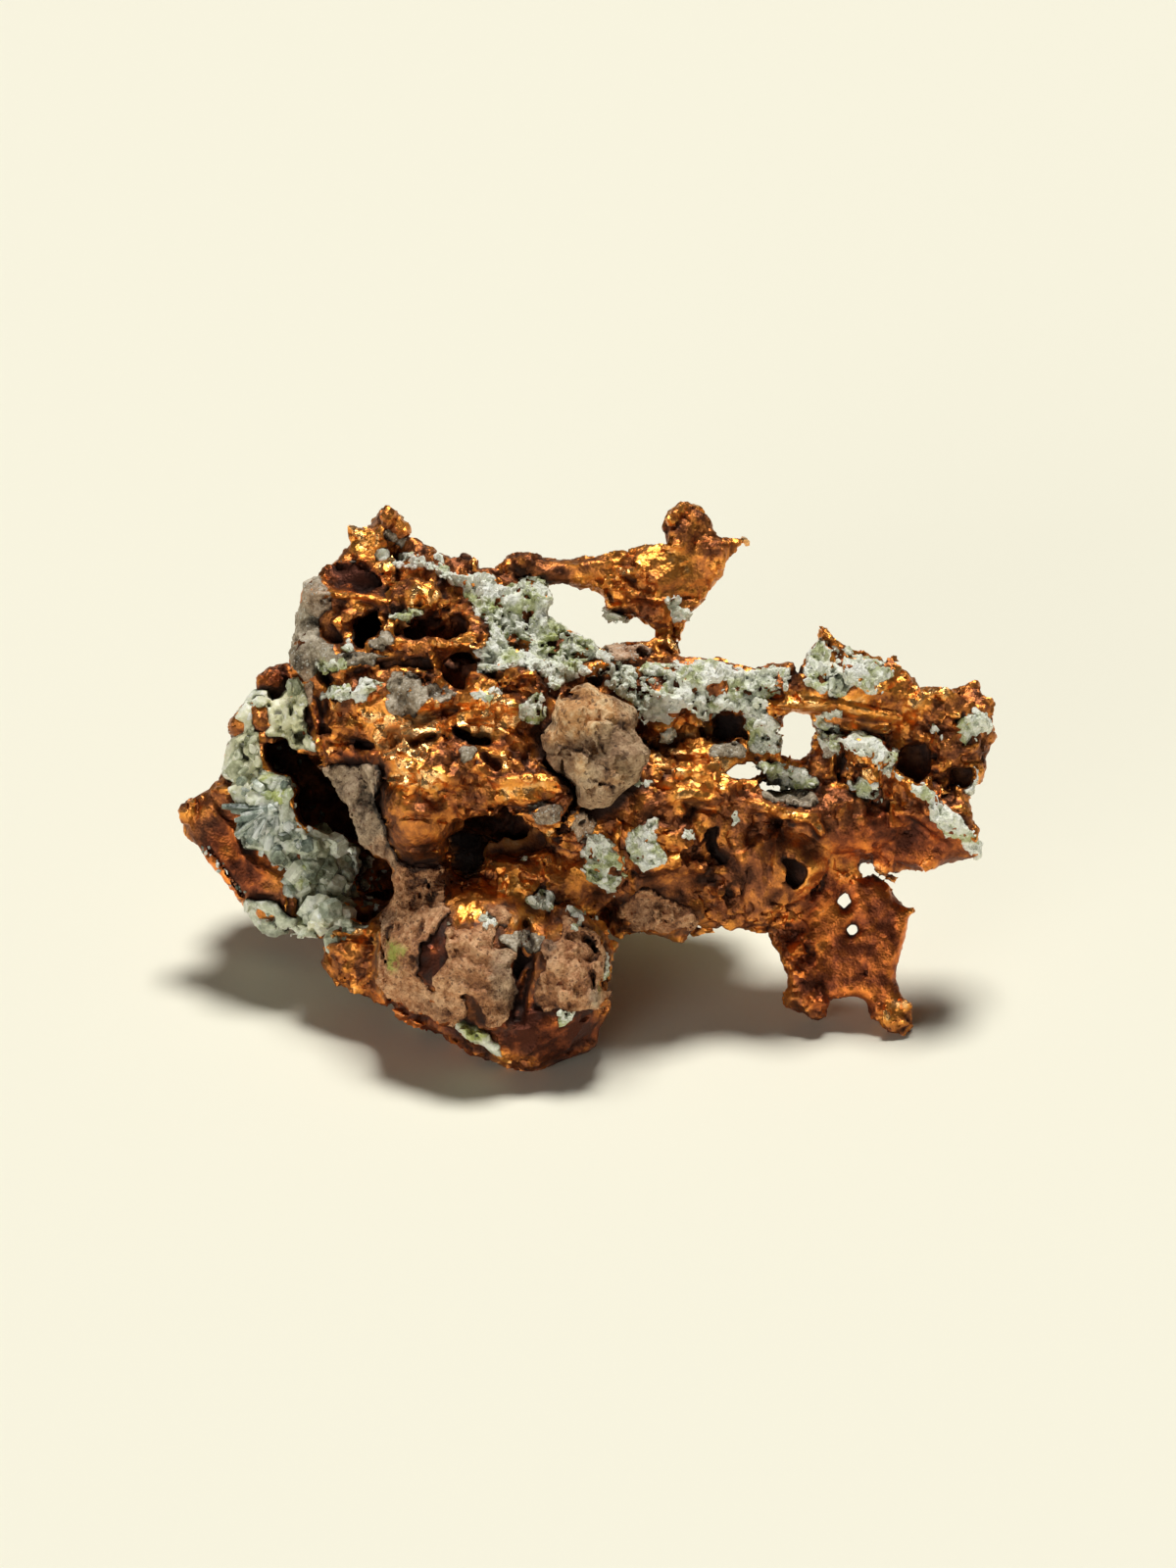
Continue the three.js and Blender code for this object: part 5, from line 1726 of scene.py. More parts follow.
@dataclass
class Tree:
    """A short way to write node trees."""

    tree: bpy.types.NodeTree

    def feed(self, node: bpy.types.Node, values: dict) -> None:
        """Give a node its inputs.

        Args:
            node: The node.
            values: Its inputs by name or number: numbers, colours or the outputs that feed them.
        """
        for key, value in values.items():
            if isinstance(value, bpy.types.NodeSocket):
                self.tree.links.new(value, node.inputs[key])
            else:
                node.inputs[key].default_value = value

    def node(self, kind: str, values: dict | None = None, **settings: object) -> bpy.types.Node:
        """Add a node.

        Args:
            kind: Its type, without the ShaderNode at its start.
            values: Its inputs by name or number: numbers, colours or the outputs that feed them.
            settings: Its properties.

        Returns:
            The new node.
        """
        node = self.tree.nodes.new("ShaderNode" + kind)
        for key, value in settings.items():
            setattr(node, key, value)
        self.feed(node, values or {})
        return node

    def math(self, operation: str, a: object, b: object = 0.0, clamp: bool = False) -> bpy.types.NodeSocket:
        """The result of a sum on two numbers."""
        return self.node("Math", {0: a, 1: b}, operation=operation, use_clamp=clamp).outputs[0]

    def total(self, base: float, parts: Sequence[tuple]) -> bpy.types.NodeSocket:
        """Add up values, each less its middle and times its weight.

        Args:
            base: What they are added to.
            parts: Rows of a value, its weight and its middle.

        Returns:
            The sum, kept between 0 and 1.
        """
        result = base - sum(weight * middle for _, weight, middle in parts)
        for number, (value, weight, _) in enumerate(parts):
            scaled = self.node("Math", {0: value, 1: weight, 2: result}, operation="MULTIPLY_ADD")
            scaled.use_clamp = number == len(parts) - 1
            result = scaled.outputs[0]
        return result

    def vector(self, operation: str, a: object, b: object = None,
               scale: object = None) -> bpy.types.NodeSocket:
        """Work out a vector.

        Args:
            operation: What is done.
            a: The first vector.
            b: The second vector, if there is one.
            scale: The number that it is multiplied by, if there is one.

        Returns:
            The result.
        """
        values = {key: value for key, value in ((0, a), (1, b), ("Scale", scale)) if value is not None}
        return self.node("VectorMath", values, operation=operation).outputs[0]

    def mix(self, share: object, a: object, b: object, blend: str = "MIX") -> bpy.types.NodeSocket:
        """Mix two colours.

        Args:
            share: The second colour's share.
            a: The first colour.
            b: The second colour.
            blend: How they are mixed.

        Returns:
            The mixed colour.
        """
        node = self.node("Mix", {"Factor": share, 6: a, 7: b}, data_type="RGBA", blend_type=blend)
        return node.outputs[2]

    def ramp(self, share: object, stops: Sequence[tuple]) -> bpy.types.NodeSocket:
        """Look a colour up on a ramp.

        Args:
            share: Where on the ramp, from 0 to 1.
            stops: Places and colours.

        Returns:
            The colour.
        """
        node = self.node("ValToRGB", {0: share})
        elements = node.color_ramp.elements
        while len(elements) < len(stops):
            elements.new(0.5)
        for element, (place, colour) in zip(elements, stops):
            element.position = place
            element.color = (*colour, 1)
        return node.outputs[0]

    def value(self, name: str) -> bpy.types.NodeSocket:
        """A named value of the mesh."""
        return self.node("Attribute", attribute_name=name).outputs["Fac"]

    def millimetres(self) -> bpy.types.NodeSocket:
        """The surface's own place, in millimetres."""
        return self.vector("SCALE", self.node("TexCoord").outputs["Object"], scale=1 / METRES)

    def noise(self, place: object, scale: object, detail: float = 4,
              rough: float = 0.6) -> bpy.types.NodeSocket:
        """Layered noise between 0 and 1.

        Args:
            place: Where it is looked up.
            scale: Its lumps a unit.
            detail: How many finer layers it has.
            rough: How strong the finer layers are.

        Returns:
            The noise.
        """
        values = {"Vector": place, "Scale": scale, "Detail": detail, "Roughness": rough}
        return self.node("TexNoise", values).outputs["Fac"]


class Effects:
    """Shader node groups that more than one mineral uses."""

    def __init__(self) -> None:
        """Build each group once."""
        self.grain = self._grain()
        self.painted_shade = self._painted_shade_group()
        self.glints = self._glints()

    @staticmethod
    def _group(name: str, inputs: dict[str, tuple], outputs: dict[str, Socket]) -> tuple:
        """Start a group with named sockets.

        Args:
            name: The group's name.
            inputs: Kinds of socket and starting values by name.
            outputs: Kinds of socket by name.

        Returns:
            The group's tree helper, its input sockets by name and its output node.
        """
        group = bpy.data.node_groups.new(name, "ShaderNodeTree")
        for key, (kind, start) in inputs.items():
            socket = group.interface.new_socket(name=key, in_out="INPUT", socket_type=kind.value)
            if start is not None:
                socket.default_value = start
        for key, kind in outputs.items():
            group.interface.new_socket(name=key, in_out="OUTPUT", socket_type=kind.value)
        return Tree(group), group.nodes.new("NodeGroupInput").outputs, group.nodes.new("NodeGroupOutput")

    def _grain(self) -> bpy.types.NodeTree:
        """Build mineral grain: a height for bumps, and a mask of scattered specks.

        Returns:
            The node group.
        """
        tree, given, out = self._group(
            "mineral_grain",
            {"Place": (Socket.VECTOR, None), "Scale": (Socket.NUMBER, 1.0), "Specks": (Socket.NUMBER, 0.5)},
            {"Height": Socket.NUMBER, "Mask": Socket.NUMBER},
        )
        noise = tree.noise(given["Place"], given["Scale"], 6, 0.65)
        finer = tree.math("MULTIPLY", given["Scale"], 1.7)
        cells = tree.node("TexVoronoi", {"Vector": given["Place"], "Scale": finer})
        height = tree.math("ADD", noise, tree.math("MULTIPLY", cells.outputs["Distance"], -0.4))
        draw = tree.node("SeparateColor", {0: cells.outputs["Color"]}).outputs[0]
        mask = tree.math("GREATER_THAN", draw, tree.math("SUBTRACT", 1.0, given["Specks"]))
        tree.feed(out, {"Height": height, "Mask": mask})
        return tree.tree

    def _painted_shade_group(self) -> bpy.types.NodeTree:
        """Build painted shade: a colour darkened towards a near-black shade colour in hollows, and inside the
        deep holes.

        Returns:
            The node group.
        """
        tree, given, out = self._group(
            "hollow_painted_shade",
            {
                "Colour": (Socket.COLOUR, (1, 1, 1, 1)), "Shade Colour": (Socket.COLOUR, (0.02, 0.015, 0.01, 1)),
                "Hollow": (Socket.NUMBER, 0.0), "Dark": (Socket.NUMBER, 0.0), "Amount": (Socket.NUMBER, 1.0),
            },
            {"Colour": Socket.COLOUR, "Mask": Socket.NUMBER},
        )
        # Painted shade: the deeper the hollow, the more of the shade colour; inside the wells the painted
        # darkness wins.
        hollow = {0: given["Hollow"], 1: 0.28, 2: 0.8}
        deep = tree.node("MapRange", hollow, interpolation_type="SMOOTHSTEP").outputs[0]
        mask = tree.math("MULTIPLY", deep, given["Amount"], clamp=True)
        mask = tree.math("MAXIMUM", mask, given["Dark"], clamp=True)
        tree.feed(out, {"Colour": tree.mix(mask, given["Colour"], given["Shade Colour"]), "Mask": mask})
        return tree.tree

    def _glints(self) -> bpy.types.NodeTree:
        """Build small crystal faces that lean every way, and so catch the light one by one.

        Returns:
            The node group.
        """
        tree, given, out = self._group(
            "glint_facets",
            {"Place": (Socket.VECTOR, None), "Scale": (Socket.NUMBER, 1.0), "Lean": (Socket.NUMBER, 0.5)},
            {"Normal": Socket.VECTOR, "Shade": Socket.NUMBER},
        )
        bend = tree.node("TexNoise", {"Vector": given["Place"], "Scale": 0.9, "Detail": 2}).outputs["Color"]
        place = tree.vector("ADD", given["Place"], tree.vector("SCALE", bend, scale=0.9))
        normal = tree.node("NewGeometry").outputs["Normal"]
        shade = None
        for share, rate in ((1.0, 1.0), (0.5, 2.6)):
            finer = tree.math("MULTIPLY", given["Scale"], rate)
            cells = tree.node("TexVoronoi", {"Vector": place, "Scale": finer})
            lean = tree.vector("SUBTRACT", cells.outputs["Color"], (0.5, 0.5, 0.5))
            lean = tree.vector("SCALE", lean, scale=tree.math("MULTIPLY", given["Lean"], share))
            normal = tree.vector("ADD", normal, lean)
            shade = shade or tree.node("SeparateColor", {0: cells.outputs["Color"]}).outputs[2]
        tree.feed(out, {"Normal": tree.vector("NORMALIZE", normal), "Shade": shade})
        return tree.tree


@dataclass(frozen=True)
class Finish:
    """A mineral's finish, as a material."""

    name: str

    def start(self) -> tuple[bpy.types.Material, Tree, bpy.types.Node]:
        """Start a material.

        Returns:
            The material, its tree helper and its main shader.
        """
        material = bpy.data.materials.new(self.name)
        material.use_nodes = True
        return material, Tree(material.node_tree), material.node_tree.nodes["Principled BSDF"]


@dataclass(frozen=True)
class CopperFinish(Finish):
    """Hackly native copper: gold-orange on its worn points, brown where it is tarnished, with painted shade
    in its hollows, its wells and along the plates' edges, and painted light and shade in its drawn tones.
    """

    ramp: tuple = (
        (0.0, (0.075, 0.028, 0.015)), (0.24, (0.26, 0.086, 0.032)), (0.46, (0.61, 0.212, 0.048)),
        (0.72, (0.92, 0.36, 0.062)), (1.0, (1.0, 0.57, 0.22)),
    )
    redness: tuple = (1.0, 0.78, 0.80)
    # The near-black colour of the painted shade in hollows, wells and along the plates' edges.
    painted_shade: tuple = (0.022, 0.010, 0.006)
    facet_scale: float = 0.8
    facet_lean: float = 0.36
    rough: float = 0.50
    polish: float = 0.24

    def material(self, effects: Effects) -> bpy.types.Material:
        """Make the finish as a material.

        Args:
            effects: The shared node groups.

        Returns:
            The material.
        """
        material, tree, shader = self.start()
        place = tree.millimetres()
        calm = tree.value("calm")
        glints = tree.node("Group", {
            "Place": place, "Scale": self.facet_scale,
            "Lean": tree.total(self.facet_lean, ((calm, -0.30, 0.0),)),
        }, node_tree=effects.glints)
        # Tone carries the drawn tones with their painted light and shade, and painted shade where the hollow
        # value is high.
        tone = tree.total(0.33, (
            (tree.noise(place, 0.16, 3), 0.9, 0.5), (tree.noise(place, 0.42, 5, 0.66), 1.25, 0.5),
            (tree.value("tone"), 0.50, 0.0), (tree.value("crest"), 0.55, 0.1),
            (glints.outputs["Shade"], 0.16, 0.5), (tree.value("hollow"), -0.42, 0.08),
        ))
        colour = tree.ramp(tone, self.ramp)
        red = tree.mix(tree.value("red"), colour, (*self.redness, 1), "MULTIPLY")
        # Painted shade: the colour turns dark in hollows, inside the wells and along the plates' edges.
        shade_painted = tree.node("Group", {
            "Colour": red, "Hollow": tree.value("hollow"), "Amount": 0.7, "Dark": tree.value("dark"),
            "Shade Colour": (*self.painted_shade, 1),
        }, node_tree=effects.painted_shade)
        grain = tree.node("Group", {"Place": place, "Scale": 1.7}, node_tree=effects.grain)
        bump = tree.node("Bump", {
            "Strength": 0.4, "Distance": 0.3 * METRES, "Height": grain.outputs["Height"],
            "Normal": glints.outputs["Normal"],
        })
        # Where shade is painted, the copper is also less metallic and rougher.
        mask = shade_painted.outputs["Mask"]
        tree.feed(shader, {
            "Base Color": shade_painted.outputs["Colour"], "Metallic": tree.total(0.94, ((mask, -0.75, 0.0),)),
            "Roughness": tree.total(self.rough, ((tone, -self.polish, 0.0), (mask, 0.3, 0.0))),
            "Normal": bump.outputs["Normal"],
        })
        return material


@dataclass(frozen=True)
class StoneFinish(Finish):
    """A mineral with grain, two palettes that change across it, specks, moss and painted shade in its
    hollows.
    """

    palette: tuple
    second: tuple
    speck: tuple
    specks: float
    scale: float
    roughness: float
    bump: float
    clear: float = 0.0
    lean: float = 0.25
    moss: tuple = (0.38, 0.43, 0.07)
    # How strongly shade is painted in the hollows.
    painted_shade_amount: float = 0.65

    def material(self, effects: Effects) -> bpy.types.Material:
        """Make the finish as a material.

        Args:
            effects: The shared node groups.

        Returns:
            The material.
        """
        material, tree, shader = self.start()
        place = tree.millimetres()
        close = tree.noise(place, self.scale, 6, 0.72)
        # Tone is darker in hollows: painted shade.
        tone = tree.total(0.5, (
            (tree.noise(place, 0.24, 4), 1.5, 0.5), (close, 1.7, 0.5), (tree.value("shade"), 0.7, 0.5),
            (tree.value("hollow"), -0.6, 0.12),
        ))
        stops = (0.08, 0.45, 0.86)
        colour = tree.mix(
            tree.value("hue"), tree.ramp(tone, tuple(zip(stops, self.palette))),
            tree.ramp(tone, tuple(zip(stops, self.second))),
        )
        grain = {"Place": place, "Scale": self.scale * 1.6, "Specks": self.specks}
        grain = tree.node("Group", grain, node_tree=effects.grain)
        colour = tree.mix(tree.math("MULTIPLY", grain.outputs["Mask"], 0.7), colour, (*self.speck, 1))
        spots = tree.node("MapRange", {0: tree.noise(place, 1.3, 4), 1: 0.34, 2: 0.48}).outputs[0]
        moss = tree.math("MULTIPLY", tree.value("moss"), spots, clamp=True)
        colour = tree.mix(tree.math("MULTIPLY", moss, 0.85), colour, (*self.moss, 1))
        # Painted shade: the colour turns dark in hollows and inside the wells.
        shade_painted = tree.node("Group", {
            "Colour": colour, "Hollow": tree.value("hollow"), "Amount": self.painted_shade_amount,
            "Dark": tree.value("dark"), "Shade Colour": (0.026, 0.022, 0.016, 1),
        }, node_tree=effects.painted_shade)
        glints = {"Place": place, "Scale": 1.3, "Lean": self.lean}
        glints = tree.node("Group", glints, node_tree=effects.glints)
        bump = tree.node("Bump", {
            "Strength": 0.8, "Distance": self.bump * METRES, "Height": grain.outputs["Height"],
            "Normal": glints.outputs["Normal"],
        })
        tree.feed(shader, {
            "Base Color": shade_painted.outputs["Colour"],
            "Roughness": tree.total(self.roughness, ((close, -0.3, 0.5),)), "Normal": bump.outputs["Normal"],
            "Subsurface Weight": self.clear, "Subsurface Radius": (0.9, 1.0, 0.8),
            "Subsurface Scale": 0.0012,
        })
        return material


@dataclass
class Finishes:
    """The materials of the specimen, made once."""

    copper_finish: CopperFinish = CopperFinish("native_copper")
    stones: tuple[StoneFinish, ...] = (
        StoneFinish(
            "green_crust", palette=((0.54, 0.58, 0.42), (0.98, 1.0, 0.84), (1.0, 1.0, 0.92)),
            second=((0.34, 0.36, 0.14), (0.78, 0.78, 0.42), (1.0, 0.98, 0.70)), speck=(1.0, 1.0, 0.92),
            specks=0.15, scale=1.2, roughness=0.7, bump=0.4, lean=0.5, painted_shade_amount=0.3,
        ),
        StoneFinish(
            "tan_matrix", palette=((0.11, 0.080, 0.050), (0.36, 0.26, 0.165), (0.64, 0.50, 0.34)),
            second=((0.15, 0.050, 0.020), (0.50, 0.205, 0.075), (0.92, 0.52, 0.26)),
            speck=(0.16, 0.07, 0.035), specks=0.08, scale=1.3, roughness=0.84, bump=0.4,
        ),
        StoneFinish(
            "grey_matrix", palette=((0.10, 0.080, 0.050), (0.34, 0.29, 0.20), (0.70, 0.63, 0.49)),
            second=((0.18, 0.085, 0.045), (0.56, 0.33, 0.19), (0.90, 0.64, 0.44)),
            speck=(0.7, 0.67, 0.58), specks=0.08, scale=1.7, roughness=0.78, bump=0.3,
        ),
        StoneFinish(
            "prehnite_base", palette=((0.18, 0.21, 0.15), (0.60, 0.64, 0.50), (0.96, 0.97, 0.86)),
            second=((0.30, 0.30, 0.15), (0.74, 0.72, 0.44), (0.98, 0.95, 0.72)), speck=(0.92, 0.93, 0.86),
            specks=0.03, scale=0.8, roughness=0.42, bump=0.2, clear=0.35, lean=0.2,
        ),
        StoneFinish(
            "knob_rock", palette=((0.06, 0.040, 0.026), (0.25, 0.16, 0.095), (0.56, 0.38, 0.23)),
            second=((0.20, 0.08, 0.030), (0.70, 0.35, 0.13), (1.0, 0.72, 0.40)), speck=(0.12, 0.06, 0.03),
            specks=0.08, scale=0.9, roughness=0.85, bump=0.5, lean=0.5,
        ),
        StoneFinish(
            "prehnite_druse", palette=((0.06, 0.080, 0.062), (0.26, 0.31, 0.25), (0.80, 0.84, 0.74)),
            second=((0.12, 0.13, 0.06), (0.42, 0.43, 0.26), (0.88, 0.88, 0.64)), speck=(0.9, 0.93, 0.88),
            specks=0.02, scale=0.7, roughness=0.34, bump=0.15, clear=0.3, lean=0.3,
        ),
    )

    def __post_init__(self) -> None:
        """Make each material."""
        effects = Effects()
        self.copper = self.copper_finish.material(effects)
        self.stone = {finish.name: finish.material(effects) for finish in self.stones}


def dressed(obj: bpy.types.Object, material: bpy.types.Material, mineral: Mineral) -> bpy.types.Object:
    """Give a piece its material and its place on the part.

    Args:
        obj: The piece.
        material: Its material.
        mineral: Not used.

    Returns:
        The same piece.
    """
    obj.data.materials.clear()
    obj.data.materials.append(material)
    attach(obj, "root")
    LOG.info("%s: %d faces", obj.name, len(obj.data.polygons))
    return obj


@dataclass
class CopperPieces:
    """The four copper pieces, with the tones that the copper takes on, partly its own colour and partly
    painted light and shade.
    """

    body: CopperBody
    material: bpy.types.Material
    pieces: tuple = (
        ("body_copper", "copper_mass"), ("arch_copper", "copper_arch"), ("arm_copper", "copper_arm"),
        ("foot_copper", "copper_foot"),
    )
    plates: Coat = Coats().tan
    # Width of the band of painted shade on the copper along the tan plates' edges, and how dark it is
    # painted.
    shade_band: float = 0.32
    shade_band_dark: float = 0.8
    least: int = 500
    creases: tuple[float, float] = (0.95, 0.13)
    facets: tuple[float, float] = (1.2, 0.26)
    calmed: float = 0.65
    sharp: float = 32.0
    # Tones drawn on the front, gold where positive and brown where negative: partly the copper's own gold and
    # brown, and partly painted light and shade, lighter on upper faces and on faces that sit in shade, darker
    # on undersides, the fin and the lower parts.
    tones_and_painted_light: tuple = (
        (
            (
                (-23.7, 2.1), (-22.9, 3.3), (-21.3, 2.9), (-19.3, 2.1), (-17.5, 1.7), (-16.5, 0.3),
                (-16.7, -0.7), (-18.5, -0.9), (-19.7, -1.5), (-20.9, -0.7), (-21.5, -1.9), (-22.9, -1.5),
                (-24.4, -0.1),
            ),
            1.0,
        ),
        ((-7.4, -0.3, 4.2, 1.5, 5), 0.9), ((12.4, 2.6, 5, 5.5), 0.8), ((31, 9, 9, 2.4, -6), 0.5),
        ((40.4, 10, 2.2, 2.2), 1.0), ((37.2, 12.5, 2, 1.5), 1.0), ((-27.8, 29.6, 2.2, 2.4), 0.2),
        ((-20.4, 22.9, 2.2, 1.8), 1.0), ((6, 26, 9, 4), 0.5), ((-7.6, -16.2, 2.0, 1.3), 1.0),
        ((-4.9, -16.7, 1, 0.6), 0.9), ((-14.6, -14.6, 3.2, 2.0, -20), 0.6),
        ((-9.6, -12.7, 4.2, 1.4, 5), 0.8), ((-20.4, -5.0, 4.8, 1.8), 0.15), ((-20.4, -8.2, 4.2, 1.8), 0.2),
        ((-23.4, 5.4, 3.2, 2), 1.0), ((-30.9, 3.6, 1.4, 1.2), 0.7), ((-2, -10, 5, 3), 0.3),
        ((-25, 9, 4, 2.4), 0.6), ((-15, 10.6, 5, 2), 0.6), ((-28.6, 3.2, 5, 1.0, -6), -0.5),
        ((-28.6, 25.6, 3.6, 2.0), -0.8), ((-26.6, 21.9, 4, 1.6, -28), 0.35), ((20, -10, 6, 5), -0.4),
        ((33, -19, 7, 8), 0.1), ((-4, -30, 7, 4), -0.7), ((-18.6, -20.6, 2.4, 3.6), -0.7),
        ((-22, 6, 4.5, 3), 1.9), ((-12, 8.4, 4, 3), 1.1), ((-28, 8, 4, 3), 0.4),
        ((-13.4, -27.0, 1.6, 2), -0.7), ((-43.6, -8, 5, 7, -40), -0.3), ((-46.8, -3.0, 3, 1.4, 20), 0.35),
        ((-44, -8.4, 1, 1.4), 0.8), ((-8.2, -23.6, 1.6, 5), -0.35), ((-18.6, 19.2, 3.4, 1.4), -0.6),
        ((-23.4, 32.4, 2, 2), 0.1), ((12.2, 32.2, 2.4, 2.2), 0.3), ((41, -7, 6, 2.4, -20), -0.3),
        ((28, -19, 2, 3), 0.5), ((37.6, -28.2, 1.6, 2), 0.7), ((-14.4, 17.8, 0.7, 0.6), 1.0),
        ((24, -3.2, 4.4, 1.2, -14), 0.5), ((-33.6, 8.6, 0.9, 2.2), -0.4), ((-30, -18.8, 3.6, 1.8), 0.4),
        ((11, -12, 6, 2.5), -0.2), ((-12.2, -6.0, 1.8, 1.0), 0.5), ((-12.0, -8.6, 0.5, 1.6), 0.7),
        ((-24, 27, 3, 2), 0.3),
    )
    reds: tuple = (
        (32, -20, 8, 10), (38, -7, 9, 4), (-5, -29, 7, 5), (-38.4, 13, 3, 2), (-18.6, -20.6, 3, 4),
        (-20, -29, 8, 3, -30), (-8.2, -23.6, 1.6, 5), (-33.6, 8.6, 1.2, 3), (-28.6, 3.2, 5, 1.2),
        (-43, -9, 5, 7, -40), (-28.6, 25.6, 4, 2.4),
    )

    def values(self, p: Array, out: Array) -> dict[str, Array]:
        """Find the named values of corners.

        Args:
            p: The corners, one a row.
            out: The directions out of the surface there.

        Returns:
            Their shelter with the painted shade of the wells and the plates' edges, their tone, with its
            painted light and shade, their redness and their calm.
        """
        canvas, facing = self.body.canvas, self.body.facing(p)
        tone = canvas.painted(self.tones_and_painted_light)
        red = eased(canvas.patches(self.reds, 1.0) / 2 + 0.3)
        shelter = self.body.shelter(p, out)
        # Painted shade: a dark band on the copper just outside the tan plates' edges, where shade would fall.
        beside = canvas.patches(self.plates.shapes, self.plates.ragged) + self.plates.grow
        beside = np.abs(beside + self.shade_band)
        shade_band = canvas.at(eased(1.2 - beside / self.shade_band), p) * facing
        shelter["dark"] = np.maximum(shelter["dark"], shade_band * self.shade_band_dark)
        return {
            **shelter, "tone": canvas.at(tone, p) * facing, "red": canvas.at(red, p) * facing,
            "calm": canvas.at(self.body.quiet, p) * facing,
        }

    def build(self) -> None:
        """Skin each piece, crease and facet it finely, and dress it."""
        for number, (name, node) in enumerate(self.pieces):
            skinned = skin(self.body.piece(number), self.body.grid.low, self.body.grid.cell)
            corners, faces = whole_lumps(*skinned, self.least)
            out = self.body.normals(self.body.values, corners)
            fine = self.creases[1] * (Noise.ridged(corners, self.creases[0], 31) - 0.55)
            fine += self.facets[1] * Noise.cells(corners, self.facets[0], 32)[2]
            values = self.values(corners, out)
            corners = corners + out * (fine * (1 - self.calmed * values["calm"]))[:, None].astype(np.float32)
            obj = new_object(name, corners, faces, values)
            dressed(thinned(obj, MOST_TRIANGLES, self.sharp), self.material, Mineral.COPPER)
            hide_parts(node)


@dataclass
class CoatPieces:
    """The shells that coat the copper."""

    body: CopperBody
    materials: dict[str, bpy.types.Material]
    coats: tuple[Coat, ...] = Coats().all()
    sharp: float = 40.0
    least: int = 24

    def __post_init__(self) -> None:
        """Draw the shells' fields."""
        self.fields = {coat.name: coat.field(self.body) for coat in self.coats}

    def build(self) -> None:
        """Skin each shell, crease it finely, and dress it."""
        for coat in self.coats:
            values = self.fields[coat.name]
            corners, faces = whole_lumps(*skin(values, self.body.grid.low, self.body.grid.cell), self.least)
            out = self.body.normals(values, corners)
            fine = coat.fine * (Noise.ridged(corners, 0.9, coat.seed + 9) - 0.5)
            fine += coat.fine * Noise.cells(corners, 1.0, coat.seed + 10)[2]
            corners = corners + out * fine[:, None].astype(np.float32)
            obj = new_object(coat.name, corners, faces, coat.values(self.body, corners, out))
            dressed(thinned(obj, MOST_TRIANGLES, self.sharp), self.materials[coat.name], coat.mineral)


